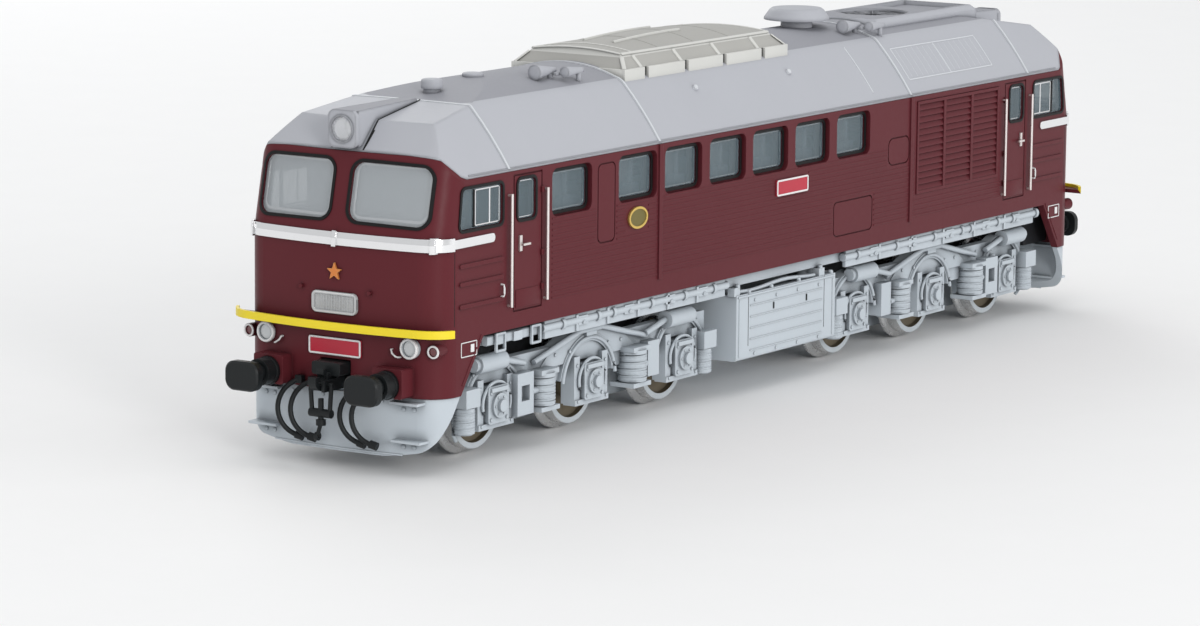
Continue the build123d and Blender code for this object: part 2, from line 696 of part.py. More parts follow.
def fuel_tank():
    """Tank between the bogies, open at the top, with lifting brackets."""
    solid = block(-tank_half, tank_half, -tank_side, tank_side, tank_bottom, tank_top)
    solid = fillet(solid.edges().filter_by(Axis.X).group_by(Axis.Z)[0], 0.5)
    solid -= block(-tank_half + 1, tank_half - 1, -tank_side + 1.1, tank_side - 1.1,
                   tank_bottom + 1, tank_top + 1)
    for s in both_sides(block(-11.2, -11.0, tank_side - 0.12, 20, 6.6, tank_top)):
        solid -= s
    for s in both_sides(block(10.9, 11.1, tank_side - 0.12, 20, 6.6, tank_top)):
        solid -= s
    brackets = []
    for x in (14.2, -10.4):
        brackets.append(block(x - 0.9, x + 0.7, 15.0, 16.2, tank_top - 0.1, plate_bottom + 0.2))
    for s in both_sides(fused(brackets)):
        solid += s
    posts = both_ends(both_sides(rod(1.3, (12.2, 12.2, tank_bottom + 0.5), (12.2, 12.2, plate_bottom))))
    return fused([solid] + posts)


def speaker():
    """Sound capsule in the tank."""
    case = block(-7.5, 7.5, -5.5, 5.5, 5.7, 9.6, 1.0, Axis.Z)
    cone = Pos(0, 0, 9.9) * Cone(4.2, 3.0, 0.8)
    return fused([case, cone])


def body_screws():
    screws = []
    for x, y in ((33, 11.4), (33, -11.4)):
        head = rod(1.6, (x, y, 14.9), (x, y, 15.55))
        shank = rod(0.8, (x, y, 15.5), (x, y, 22.5))
        slot = block(x - 1.4, x + 1.4, y - 0.15, y + 0.15, 14.5, 15.1)
        screws.append(fused([head, shank]) - slot)
    return both_ends(screws)


# ------------------------------------------------------------ motor and electrics
def motor():
    """Flat-sided can motor with two bearing bosses."""
    can = rod(7.3, (-12.5, 0, motor_z), (12.5, 0, motor_z))
    can &= block(-13, 13, -7.3, 7.3, motor_z - 5.9, motor_z + 5.9)
    for s in both_ends([rod(2.6, (12.4, 0, motor_z), (13.8, 0, motor_z))]):
        can += s
    can -= rod(1.06, (-20, 0, motor_z), (20, 0, motor_z))
    can -= rod(5.2, (-10.5, 0, motor_z), (10.5, 0, motor_z))
    terminals = both_sides(block(-12.2, -11.0, 5.0, 5.8, motor_z + 4.2, motor_z + 8.0))
    return fused([can] + terminals)


def motor_shaft():
    """Shaft through the motor with its winding core, ending in two sockets."""
    shaft = rod(1.0, (-46.8, 0, motor_z), (46.8, 0, motor_z))
    core = rod(4.6, (-8.5, 0, motor_z), (8.5, 0, motor_z))
    commutator = rod(2.2, (8.4, 0, motor_z), (10.2, 0, motor_z))
    socket = rod(2.5, (46.6, 0, motor_z), (pivot_x + 1.9, 0, motor_z))
    socket -= rod(1.75, (pivot_x - 1.9, 0, motor_z), (60, 0, motor_z))
    socket -= block(pivot_x - 1.0, 60, -4, 4, motor_z - 0.65, motor_z + 0.65)
    for i in range(3):
        slot = Rot(120 * i, 0, 0) * block(-9, 8.4, -0.35, 0.35, 3.0, 6)
        core -= Pos(0, 0, motor_z) * slot
    return fused([shaft, core, commutator] + both_ends([socket]))


def flywheels():
    wheel = rod(5.6, (16.5, 0, motor_z), (25.5, 0, motor_z))
    wheel = chamfer(wheel.edges().filter_by(GeomType.CIRCLE), 0.4)
    wheel -= rod(1.0, (10, 0, motor_z), (30, 0, motor_z))
    wheel -= tube(4.3, 2.2, (24.7, 0, motor_z), (27, 0, motor_z))
    return both_ends([wheel])


def ballast_weights():
    weight = block(31.5, 73.5, 9.2, 14.9, plate_top + 0.1, 30.5, 0.6, Axis.X)
    weight -= block(30, 35.8, 8, 16, 10, 24.4)
    inner_weight = block(-29.5, 29.5, 10.0, 14.9, plate_top + 0.1, 30.5, 0.6, Axis.X)
    return both_ends(both_sides(weight)) + both_sides(inner_weight)


def circuit_board():
    """Main board over the motor, a plug-in decoder, and a lamp board in each nose."""
    board = block(-42, 42, -8.8, 8.8, 31.6, 32.6)
    posts = both_ends(both_sides(block(34, 36, 7.2, 8.7, 30.0, 31.7)))
    chips = [block(x, x + w, y, y + d, 32.5, 32.5 + h) for x, w, y, d, h in (
        (-36, 6, -4, 8, 1.1), (-24, 4, 2, 4, 1.4), (-24, 4, -6, 4, 1.4),
        (20, 5, -3, 6, 1.2), (30, 6, -5, 4, 2.0), (30, 6, 2, 4, 2.0))]
    main = fused([board] + posts + chips)
    socket = block(-14, 14, -6.6, -4.0, 32.7, 34.6)
    decoder = block(-12.5, 13.5, -7.8, 7.8, 34.7, 35.7)
    lamp_boards = both_ends([block(83.6, 84.4, -3.4, 3.4, 41.6, 44.2)])
    return [main, socket, decoder] + lamp_boards


def cab_interiors():
    """Bulkhead, floor, control desk and two seats in each cab."""
    floor = block(74.6, 90.2, -14.6, 14.6, 19.4, 20.4)
    bulkhead = block(74.6, 75.6, -14.6, 14.6, 20.3, 39.0)
    desk = side_profile([(84.6, 20.3), (84.6, 31.0), (88.4, 32.6), (90.4, 32.6), (90.4, 20.3)],
                        -13.8, 13.8)
    pieces = [floor, bulkhead, desk]
    for y in (-9, 9):
        pieces.append(rod(0.9, (79.6, y, 20.3), (79.6, y, 26.2)))
        pieces.append(block(77.8, 82.0, y - 2.2, y + 2.2, 26.0, 27.2, 0.6, Axis.Z))
        pieces.append(block(77.4, 78.4, y - 2.1, y + 2.1, 27.0, 33.2, 0.5, Axis.X))
        pieces.append(block(86.2, 88.2, y - 3.0, y + 3.0, 31.0, 33.4, 0.4, Axis.Y))
    pieces = [p & body_form(wall + 0.15) for p in pieces]
    return both_ends([fused(pieces)])


# ------------------------------------------------------------ gears
def involute_gear(teeth, thin=0.12, steps=5):
    """Spur gear outline with one tooth centred on the local x axis."""
    pitch_r = gear_module * teeth / 2
    base_r = pitch_r * math.cos(math.radians(20))
    tip_r = pitch_r + gear_module * 0.9
    root_r = pitch_r - gear_module * 1.2

    def flank_angle(r):
        a = math.acos(min(1.0, base_r / r))
        return math.tan(a) - a

    half = math.pi / (2 * teeth) - thin / (2 * pitch_r) + flank_angle(pitch_r)
    start_r = max(base_r, root_r)
    flank = []
    for i in range(steps):
        r = start_r + (tip_r - start_r) * i / (steps - 1)
        flank.append((r, half - flank_angle(r)))
    one = [(root_r, flank[0][1])] + flank
    outline = []
    for k in range(teeth):
        centre = 2 * math.pi * k / teeth
        outline += [(r, centre - a) for r, a in one]
        outline += [(r, centre + a) for r, a in reversed(one)]
    return [(r * math.cos(a), r * math.sin(a)) for r, a in outline]


def upright_gear(teeth, x, z, phase, width):
    """Gear turning about the y direction; phase is the angle from +x towards +z."""
    outline = [(x + px * math.cos(phase) - pz * math.sin(phase),
                z + px * math.sin(phase) + pz * math.cos(phase))
               for px, pz in involute_gear(teeth)]
    return side_profile(outline, -width / 2, width / 2)


transfer_phase = math.pi / 2 + math.pi / transfer_teeth


def meshing_phase(direction):
    """Phase of an axle gear that lies in this direction from the transfer gear."""
    ratio = transfer_teeth / axle_teeth
    return direction + math.pi - ratio * (transfer_phase - direction) - math.pi / axle_teeth


def transfer_gear():
    """Intermediate gear of the front bogie, with its spindle bush."""
    gear = upright_gear(transfer_teeth, transfer_x, transfer_z, transfer_phase, gear_width)
    hub = rod(2.2, (transfer_x, -1.25, transfer_z), (transfer_x, 1.25, transfer_z))
    gear = fused([gear, hub])
    gear -= rod(1.0, (transfer_x, -5, transfer_z), (transfer_x, 5, transfer_z))
    for i in range(5):
        a = math.radians(72 * i)
        x, z = transfer_x + 5.2 * math.cos(a), transfer_z + 5.2 * math.sin(a)
        gear -= rod(1.4, (x, -5, z), (x, 5, z))
    spindle = rod(1.0, (transfer_x, -3.6, transfer_z), (transfer_x, 3.6, transfer_z))
    return [gear, spindle]


def worm():
    """Worm on its shaft, with the ball and cross pin that sit in the motor's socket."""
    shaft = rod(0.8, (0.8, 0, motor_z), (20.4, 0, motor_z))
    core = rod(worm_pitch_r - 0.6, (worm_x0 - 0.2, 0, motor_z), (worm_x1 + 0.2, 0, motor_z))
    crest = Plane(origin=(worm_pitch_r - 0.75, 0, 0), x_dir=(1, 0, 0), z_dir=(0, -1, 0))
    outline = [(0, -0.36), (1.2, -0.13), (1.2, 0.13), (0, 0.36)]
    path = Helix(worm_pitch, worm_x1 - worm_x0 - 0.6, worm_pitch_r - 0.75)
    thread = sweep(crest * make_face(Polyline(*outline, close=True)), path, is_frenet=True)
    # The thread's lowest crest must stand over the middle of the transfer gear.
    start = worm_x0 + 0.3
    turns = (transfer_x - start) / worm_pitch
    thread = Pos(start, 0, motor_z) * Rot(-90 - 360 * turns, 0, 0) * Rot(0, 90, 0) * Rot(0, 0, 90) * thread
    head = ball(1.45, (0, 0, motor_z))
    cross_pin = rod(0.4, (0, -2.1, motor_z), (0, 2.1, motor_z))
    return fused([shaft, core, thread, head, cross_pin])


# ------------------------------------------------------------ bogies
def wheel(y_back):
    """One disc wheel: flange inside, tread, dished web and hub."""
    b = y_back
    profile = [
        (axle_r, b), (2.2, b), (2.2, b + 0.7), (4.6, b + 1.0), (4.6, b), (wheel_r + flange_depth - 0.25, b),
        (wheel_r + flange_depth, b + 0.3), (wheel_r + flange_depth - 0.12, b + 0.62),
        (wheel_r + 0.25, b + 0.85), (wheel_r, b + 1.1), (wheel_r - 0.06, b + wheel_width),
        (5.15, b + wheel_width), (5.0, b + 2.2), (2.4, b + 1.9), (1.9, b + wheel_width - 0.1),
        (axle_r, b + wheel_width - 0.1),
    ]
    face = make_face(Polyline(*[(r, y) for r, y in profile], close=True))
    disc = revolve(face, Axis.Y)
    return disc


def wheelset(centre, gear_direction=None):
    """Axle with two wheels, and a gear where the axle is driven."""
    left = wheel(wheel_back)
    pieces = [left, mirror(left, Plane.XZ)]
    pieces = [Pos(centre, 0, wheel_r) * p for p in pieces]
    axle = rod(axle_r, (centre, -10.6, wheel_r), (centre, 10.6, wheel_r))
    pieces.append(axle)
    if gear_direction is not None:
        gear = upright_gear(axle_teeth, centre, wheel_r, meshing_phase(gear_direction), gear_width)
        pieces.append(gear - axle)
    return pieces


slope = math.atan2(transfer_z - wheel_r, transfer_x)
outer_direction = -slope
middle_direction = math.pi + slope


def gearbox():
    """Drive housing: floor block over the axles, and the tower that holds the worm."""
    floor = block(-27.5, 28.2, -4.8, 4.8, wheel_r + 0.02, 14.4, 0.5, Axis.X)
    tower = block(4.6, 20.9, -4.0, 4.0, 14.3, motor_z + 3.2, 0.8, Axis.X)
    solid = fused([floor, tower])
    solid -= block(1.8, 22.4, -1.5, 1.5, 0, motor_z)
    solid -= rod(2.9, (6.9, 0, motor_z), (18.6, 0, motor_z))
    solid -= rod(1.6, (3, 0, motor_z), (25, 0, motor_z))
    for x in (axle_pitch, 0):
        solid -= rod(5.0, (x, -1.5, wheel_r), (x, 1.5, wheel_r))
    for x in (axle_pitch, 0, -axle_pitch):
        solid -= rod(axle_r + run_gap, (x, -6, wheel_r), (x, 6, wheel_r))
    solid -= rod(1.0 + run_gap, (transfer_x, -6, transfer_z), (transfer_x, 6, transfer_z))
    stub = rod(1.9, (0, 0, 14.3), (0, 0, 18.2))
    stub -= rod(1.0, (-0.0, 0, 12.0), (0, 0, 18.5))
    solid += stub
    groove = tube(2.1, 1.5, (0, 0, 17.55), (0, 0, 17.9))
    solid -= groove
    clip = tube(2.9, 1.55, (0, 0, 17.58), (0, 0, 17.86)) - block(0, 4, -0.9, 0.9, 17, 18)
    bushes = [tube(1.55, 0.8 + run_gap, (x, 0, motor_z), (x + 1.7, 0, motor_z)) for x in (5.0, 18.7)]
    return [solid, clip] + bushes


def keeper_plate():
    """Lower half of the drive housing, which holds the axles in."""
    solid = block(-27.5, 28.2, -4.8, 4.8, 0.9, wheel_r - 0.02, 0.5, Axis.X)
    solid -= block(1.8, 22.4, -1.5, 1.5, 0, 8)
    for x in (axle_pitch, 0):
        solid -= rod(4.75, (x, -1.5, wheel_r), (x, 1.5, wheel_r))
    for x in (axle_pitch, 0, -axle_pitch):
        solid -= rod(axle_r + run_gap, (x, -6, wheel_r), (x, 6, wheel_r))
    solid -= block(-21, -8, -3.6, 3.6, 2.0, 8)
    heads = [rod(0.9, (x, 0, 0.6), (x, 0, 1.0)) for x in (-6.5, 27.0)]
    return [solid] + heads


def contact_strips():
    """Spring strips that pick up current from the wheel backs."""
    strip = block(-26, 26, 5.0, 5.2, 8.6, 10.2)
    fingers = []
    for x in (-axle_pitch, 0, axle_pitch):
        points = [(x - 1.2, 5.1), (x + 2.4, 6.85), (x + 3.0, 6.85), (x + 3.0, 7.0), (x + 2.3, 7.0), (x - 1.2, 5.25)]
        finger = extrude(Pos(0, 0, 8.8) * make_face(Polyline(*points, close=True)), 1.0)
        fingers.append(finger)
    lug = block(-13, -11, 4.82, 5.1, 8.6, 10.2)
    return both_sides(fused([strip, lug] + fingers))


def coil_spring_stack(x, y, z0, z1, radius, rings):
    """Round spring shown as a stack of rings on a thinner core."""
    pieces = [rod(radius - 0.3, (x, y, z0), (x, y, z1))]
    step = (z1 - z0) / rings
    for i in range(rings):
        z = z0 + step * (i + 0.2)
        pieces.append(rod(radius, (x, y, z), (x, y, z + step * 0.6)))
    return pieces


def bogie_side():
    """Left side frame of the front bogie with axle boxes, springs and brake gear."""
    y0, y1 = frame_in, frame_in + 1.5
    pieces = [block(-31.6, 31.2, y0, y1, 9.8, 12.6)]
    for x in (-axle_pitch, 0, axle_pitch):
        # Arch over the wheel, two horn guides, and the tie bar under the axle box.
        arch = rod(7.4, (x, y0, wheel_r), (x, y1 + 0.4, wheel_r))
        arch -= rod(6.3, (x, y0 - 1, wheel_r), (x, y1 + 1, wheel_r))
        arch &= block(x - 8, x + 8, y0, y1 + 1, 7.4, 14)
        pieces.append(arch)
        for dx in (-4.3, 2.9):
            pieces.append(block(x + dx, x + dx + 1.4, y0, y1 + 0.8, 3.6, 10.5))
        pieces.append(block(x - 4.3, x + 4.3, y0 + 0.4, y1 + 1.0, 3.4, 4.2))
        box = block(x - 2.5, x + 2.5, y0 + 0.2, 14.1, 4.1, 9.4, 0.5, Axis.Y)
        cover = rod(1.75, (x, 14.0, 6.6), (x, 14.5, 6.6))
        boss = rod(0.85, (x, 14.4, 6.6), (x, 15.0, 6.6))
        lip = block(x - 2.0, x + 2.0, 14.0, 14.4, 8.6, 9.2)
        pieces += [box, cover, boss, lip]
    # Humped plate over the middle axle, and the webs between the arches.
    hump = side_profile([(-12.5, 9.8), (-9.5, 12.2), (-4.5, 14.2), (4.5, 14.2), (9.5, 12.2), (12.5, 9.8)],
                        y0, y1 + 0.25)
    hump -= rod(7.0, (0, y0 - 1, wheel_r), (0, y1 + 1, wheel_r))
    pieces.append(hump)
    for x in (-axle_pitch / 2, axle_pitch / 2):
        web = block(x - 6.0, x + 6.0, y0, y1 - 0.2, 7.6, 10.0)
        for axle_x in (x - axle_pitch / 2, x + axle_pitch / 2):
            web -= rod(6.6, (axle_x, y0 - 1, wheel_r), (axle_x, y1 + 1, wheel_r))
        pieces.append(web)
    # Spring groups between the axles.
    for x0 in (12.9, -10.9):
        pieces += coil_spring_stack(x0, 13.5, 4.9, 9.9, 2.1, 5)
        pieces.append(block(x0 - 2.3, x0 + 2.3, y0, 15.3, 4.3, 4.95))
        pieces.append(block(x0 - 2.2, x0 + 2.2, y0, 15.2, 9.5, 10.2))
    hanger = block(16.2, 20.2, y0, 14.6, 4.4, 10.4) - block(17.2, 19.2, 13.4, 16, 6.4, 8.6)
    pieces += [hanger, rod(0.5, (16.0, 14.0, 7.4), (11.0, 14.0, 7.4))]
    pieces.append(block(-17.0, -14.0, y0, 14.2, 5.2, 10.4))
    pieces.append(rod(0.45, (-14, 13.9, 7.2), (-9.5, 13.9, 7.2)))
    # Small springs at both ends.
    for x in (31.3, -30.2):
        pieces += coil_spring_stack(x, 13.2, 3.4, 7.4, 1.5, 4)
        pieces.append(block(x - 1.7, x + 1.7, y0, 14.8, 7.3, 9.9))
    # Brake cylinders and their rods, lying along the frame at both ends.
    for x, s in ((26.0, 1), (-22.5, -1)):
        pieces.append(rod(1.3, (x - 3.2, 13.7, 12.9), (x + 3.2, 13.7, 12.9)))
        pieces.append(rod(0.95, (x + 3.2 * s, 13.7, 12.9), (x + 4.0 * s, 13.7, 12.9)))
        pieces.append(rod(0.45, (x - 3.2 * s, 13.7, 12.9), (x - 8.5 * s, 13.7, 11.6)))
        pieces.append(block(x - 2.5, x + 2.5, y0, 14.0, 11.8, 12.6))
    for dx in (-1, 1):
        pieces.append(rod(0.42, (dx * 3, 13.4, 14.1), (dx * 14.5, 13.4, 11.2)))
    pieces.append(rod(0.42, (-3, 13.4, 14.1), (3, 13.4, 14.1)))
    pieces.append(block(-1.3, 1.3, 12.6, 13.6, 13.2, 14.5))
    return fused(pieces)


def bogie_frame():
    """Both side frames joined by three cross members clipped to the drive housing."""
    left = bogie_side()
    right = mirror(left, Plane.XZ)
    cross = [block(31.6, 33.0, -12.5, 12.5, 7.6, 9.4), block(-32.6, -31.4, -12.5, 12.5, 7.6, 9.6)]
    cross.append(block(-13.2, -11.2, -12.4, 12.4, 10.0, 11.6))
    cross = [c - block(-27.7, 28.4, -5.4, 5.4, 0, 14.6) for c in cross]
    shoes = []
    for x in (-axle_pitch, 0, axle_pitch):
        for y in (-8.8, 8.8):
            arc = tube(7.6, 6.75, (x, y - 0.8, wheel_r), (x, y + 0.8, wheel_r))
            arc &= block(x - 8, x - 5, -10, 10, 3.6, 8.6)
            s = 1 if y > 0 else -1
            hanger = block(x - 7.6, x - 6.9, min(y, s * 12.0), max(y, s * 12.0), 8.0, 8.9)
            if abs(x - 7.25 + 12.2) > 2.5:
                shoes += [arc, hanger]
    return fused([left, right] + cross + shoes)


# ------------------------------------------------------------ write the nodes
save("body_shell", body_shell())
save("roof_shell", roof_shell())
save("windows", windows())
save("window_seals", window_seals())
save("trim_bands", trim_bands())
save("door_handrails", door_handrails())
save("headlight_housings", headlight_housings())
save("headlight_lenses", headlight_lenses())
save("signal_lamps", signal_lamps())
save("footboards", footboards())
save("number_plates", number_plates())
save("side_emblems", side_emblems())
save("nose_fittings", nose_fittings())
save("snow_ploughs", turned([snow_plough()]))
save("brake_hoses", brake_hoses())
save("buffer_sleeves", buffer_sleeves())
save("coupling_hooks", coupling_hooks())
save("roof_hatch", roof_hatch())
save("exhaust_cap", exhaust_cap())
save("roof_vents", roof_vents())
save("horns", horns())
save("radiator_housing", radiator_housing())
save("radiator_fan", radiator_fan())
save("side_grilles", side_grilles())
save("main_frame", main_frame())
save("underframe_equipment", underframe_equipment())
save("fuel_tank", fuel_tank())
save("speaker", speaker())
save("body_screws", body_screws())
save("motor", motor())
save("motor_shaft", motor_shaft())
save("flywheels", flywheels())
save("ballast_weights", ballast_weights())
save("circuit_board", circuit_board())
save("cab_interiors", cab_interiors())

for end, turn in (("front", 0), ("rear", 180)):
    place = Rot(0, 0, turn) * Pos(pivot_x, 0, 0)
    bogie = {
        f"gearbox_{end}": gearbox(),
        f"keeper_plate_{end}": keeper_plate(),
        f"contact_strips_{end}": contact_strips(),
        f"bogie_frame_{end}": [bogie_frame()],
        f"transfer_gear_{end}": transfer_gear(),
        f"worm_{end}": [worm()],
        f"outer_wheelset_{end}": wheelset(axle_pitch, outer_direction),
        f"middle_wheelset_{end}": wheelset(0, middle_direction),
        f"inner_wheelset_{end}": wheelset(-axle_pitch),
    }
    for name, pieces in bogie.items():
        save(name, [place * piece for piece in pieces])
    save(f"screw_link_{end}", Rot(0, 0, turn) * screw_link())
    for hand, flip in (("left", False), ("right", True)):
        plunger = buffer_plunger()
        plunger = mirror(plunger, Plane.XZ) if flip else plunger
        plunger = mirror(plunger, Plane.YZ) if end == "rear" else plunger
        save(f"buffer_{end}_{hand}", plunger)
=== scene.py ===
import json
import math

import bmesh
import bpy
from mathutils import Matrix, Vector
from mathutils.bvhtree import BVHTree


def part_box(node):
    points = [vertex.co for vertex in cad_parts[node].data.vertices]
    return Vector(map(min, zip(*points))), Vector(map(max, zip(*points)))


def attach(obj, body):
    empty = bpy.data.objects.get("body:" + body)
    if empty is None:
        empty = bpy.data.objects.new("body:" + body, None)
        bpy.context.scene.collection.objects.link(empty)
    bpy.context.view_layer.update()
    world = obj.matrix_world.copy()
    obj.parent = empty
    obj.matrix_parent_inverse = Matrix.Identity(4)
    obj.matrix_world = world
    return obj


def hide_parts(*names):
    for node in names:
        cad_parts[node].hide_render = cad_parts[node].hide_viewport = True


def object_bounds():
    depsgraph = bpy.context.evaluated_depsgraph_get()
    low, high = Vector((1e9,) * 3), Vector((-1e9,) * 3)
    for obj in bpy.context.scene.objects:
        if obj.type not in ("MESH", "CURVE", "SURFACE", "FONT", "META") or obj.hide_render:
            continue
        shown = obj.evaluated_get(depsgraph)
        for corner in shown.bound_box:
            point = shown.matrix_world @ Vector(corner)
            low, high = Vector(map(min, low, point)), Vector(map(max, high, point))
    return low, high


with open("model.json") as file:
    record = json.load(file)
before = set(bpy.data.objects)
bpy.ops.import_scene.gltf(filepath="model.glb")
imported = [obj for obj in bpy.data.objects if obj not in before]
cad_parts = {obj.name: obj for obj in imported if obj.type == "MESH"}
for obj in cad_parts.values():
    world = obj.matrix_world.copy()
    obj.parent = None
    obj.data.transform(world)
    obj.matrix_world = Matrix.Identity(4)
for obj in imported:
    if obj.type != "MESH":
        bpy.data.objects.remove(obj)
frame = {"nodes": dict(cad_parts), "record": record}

MM = 0.001
cad_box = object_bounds()
nodes = frame["nodes"]
rail = next(m["pos_m"][2] for m in frame["record"]["mounts"] if m["name"] == "track")
HANDS = (("left", 1), ("right", -1))
ENDS = (("front", 1), ("rear", -1))

# Places in millimetres: x from the middle, y from the middle plane, z above the rail.
ABOVE, BESIDE, AHEAD = 60, 20, 99     # where the lines that look for a skin start
SIDE = (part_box("windows")[1].y + 0.25 * MM) / MM
NOSE = (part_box("nose_fittings")[1].x - 0.35 * MM) / MM
WINDOWS_X = (59.4, 42.4, 30.2, 18.0, 5.9, -6.3, -18.6)
WINDOW_Z = 35.6
DOOR_X = 70.8
SIDE_PLATE = (-0.2, 29.7)
SIDE_SIGN = (84.6, 16.3)
SCREEN_Y, SCREEN_Z = 7.9, 37.7
SCREEN_FOOT, SCREEN_LEAN = 31.2, 2.5 / 11.7
NOSE_PLATE_Z, NOSE_COVER_Z = 16.1, 22.2
MARKER_Y, MARKER_Z = 12.2, 16.92
TAIL_Y, TAIL_Z = 15.68, 16.7
HEADLIGHT_Z = 46.0
CAB_SEAM, MID_SEAM = 74.9, 36.5
FAN_X = -52.5
WHEEL_Z = 6.03
PIVOT, PITCH = 49.4, 24.14
BULGE_R = 90.0
BULGE_X = NOSE - BULGE_R
CORNER_R = 4.2
CORNER_Y = SIDE - CORNER_R
CORNER_X = BULGE_X + math.sqrt((BULGE_R - CORNER_R) ** 2 - CORNER_Y ** 2)


def at(x, y, z):
    """A place given in millimetres, with its height above the rail."""
    return Vector((x * MM, y * MM, rail + z * MM))


# ------------------------------------------------------------------ materials
def finish(name, colour, rough=0.4, metallic=0.0, tint=0.10, grain=1400, bump=0.15, spread=0.08,
           corner_shade=0.35, corner_shade_colour=(0.05, 0.05, 0.055), corner_shade_reach=0.9, coat=0.0, edge=0.05,
           specular=0.5, wear=0.0, wear_colour=(0.8, 0.8, 0.8)):
    """Painted or moulded surface: mottled colour, painted shade in the corners, rubbed edges, fine grain."""
    mat = bpy.data.materials.new(name)
    mat.use_nodes = True
    tree = mat.node_tree
    link = tree.links.new
    shader = tree.nodes["Principled BSDF"]
    shader.inputs["Metallic"].default_value = metallic
    shader.inputs["Specular IOR Level"].default_value = specular
    shader.inputs["Coat Weight"].default_value = coat
    shader.inputs["Coat Roughness"].default_value = 0.12

    def node(kind, **values):
        made = tree.nodes.new(kind)
        for key, value in values.items():
            made.inputs[key].default_value = value
        return made

    place = tree.nodes.new("ShaderNodeTexCoord").outputs["Object"]
    broad = node("ShaderNodeTexNoise", Scale=70.0, Detail=3.0, Roughness=0.55)
    fine = node("ShaderNodeTexNoise", Scale=float(grain), Detail=2.0, Roughness=0.5)
    for texture in (broad, fine):
        link(place, texture.inputs["Vector"])

    def mix(factor, low, high):
        made = tree.nodes.new("ShaderNodeMix")
        made.data_type = "RGBA"
        for socket, value in ((0, factor), (6, low), (7, high)):
            if hasattr(value, "is_output"):
                link(value, made.inputs[socket])
            elif socket == 0:
                made.inputs[0].default_value = value
            else:
                made.inputs[socket].default_value = (*value, 1.0)
        return made.outputs[2]

    darker = tuple(c * (1 - tint) for c in colour)
    lighter = tuple(min(1.0, c * (1 + tint)) for c in colour)
    base = mix(broad.outputs["Fac"], darker, lighter)
    # Painted shade: ambient occlusion darkens corners, creases and recesses towards a dark colour, where
    # shade falls.
    if corner_shade:
        corner = node("ShaderNodeAmbientOcclusion", Distance=corner_shade_reach * MM)
        corner.samples = 4
        span = {"From Min": 0.35, "From Max": 0.95, "To Min": corner_shade, "To Max": 0.0}
        painted_shade = node("ShaderNodeMapRange", **span)
        link(corner.outputs["AO"], painted_shade.inputs["Value"])
        base = mix(painted_shade.outputs["Result"], base, corner_shade_colour)
    if wear:
        rounded = tree.nodes.new("ShaderNodeBevel")
        rounded.samples = 4
        rounded.inputs["Radius"].default_value = 0.12 * MM
        flat = tree.nodes.new("ShaderNodeNewGeometry")
        facing = tree.nodes.new("ShaderNodeVectorMath")
        facing.operation = "DOT_PRODUCT"
        link(rounded.outputs["Normal"], facing.inputs[0])
        link(flat.outputs["Normal"], facing.inputs[1])
        span = {"From Min": 0.80, "From Max": 0.985, "To Min": wear, "To Max": 0.0}
        rub = node("ShaderNodeMapRange", **span)
        link(facing.outputs["Value"], rub.inputs["Value"])
        base = mix(rub.outputs["Result"], base, wear_colour)
    link(base, shader.inputs["Base Color"])
    shine = node("ShaderNodeMapRange", **{"To Min": max(0.02, rough - spread), "To Max": rough + spread})
    link(fine.outputs["Fac"], shine.inputs["Value"])
    link(shine.outputs["Result"], shader.inputs["Roughness"])
    relief = node("ShaderNodeBump", Strength=bump, Distance=0.03 * MM)
    link(fine.outputs["Fac"], relief.inputs["Height"])
    if edge:
        soft = tree.nodes.new("ShaderNodeBevel")
        soft.samples = 4
        soft.inputs["Radius"].default_value = edge * MM
        link(soft.outputs["Normal"], relief.inputs["Normal"])
    link(relief.outputs["Normal"], shader.inputs["Normal"])
    return mat


def clear(name, colour, alpha):
    """Clear moulding with faint haze; the haze varies, the rest is even."""
    mat = bpy.data.materials.new(name)
    mat.use_nodes = True
    tree = mat.node_tree
    shader = tree.nodes["Principled BSDF"]
    shader.inputs["Base Color"].default_value = (*colour, 1.0)
    shader.inputs["Alpha"].default_value = alpha
    shader.inputs["IOR"].default_value = 1.49
    shader.inputs["Coat Weight"].default_value = 0.6
    shader.inputs["Coat Roughness"].default_value = 0.02
    place = tree.nodes.new("ShaderNodeTexCoord")
    haze = tree.nodes.new("ShaderNodeTexNoise")
    haze.inputs["Scale"].default_value = 240.0
    span = tree.nodes.new("ShaderNodeMapRange")
    span.inputs["To Min"].default_value = 0.03
    span.inputs["To Max"].default_value = 0.08
    tree.links.new(place.outputs["Object"], haze.inputs["Vector"])
    tree.links.new(haze.outputs["Fac"], span.inputs["Value"])
    tree.links.new(span.outputs["Result"], shader.inputs["Roughness"])
    return mat


maroon = finish("maroon_paint", (0.108, 0.0185, 0.0245), 0.36, tint=0.05, bump=0.22, corner_shade=0.5,
                corner_shade_colour=(0.014, 0.003, 0.004), edge=0.10, specular=0.13, wear=0.12,
                wear_colour=(0.26, 0.10, 0.11))
roof_grey = finish("roof_grey", (0.415, 0.425, 0.46), 0.5, tint=0.03, bump=0.12, corner_shade=0.5,
                   corner_shade_colour=(0.10, 0.105, 0.12), edge=0.80, specular=0.3, wear=0.12,
                   wear_colour=(0.66, 0.68, 0.72))
# Darker copy of the roof grey for the faces that look up: painted shade, as the light falls mostly from the
# sides.
top_shade_grey = finish("roof_top_shade_grey", (0.29, 0.295, 0.325), 0.6, tint=0.05, bump=0.3, grain=2400, corner_shade=0.4,
                  corner_shade_colour=(0.08, 0.08, 0.09), edge=0.80, specular=0.25)
hatch_white = finish("hatch_white", (0.60, 0.60, 0.575), 0.5, tint=0.03, bump=0.15, corner_shade=0.5,
                     corner_shade_colour=(0.12, 0.12, 0.11), edge=0.12, specular=0.3, wear=0.45,
                     wear_colour=(0.85, 0.85, 0.82))
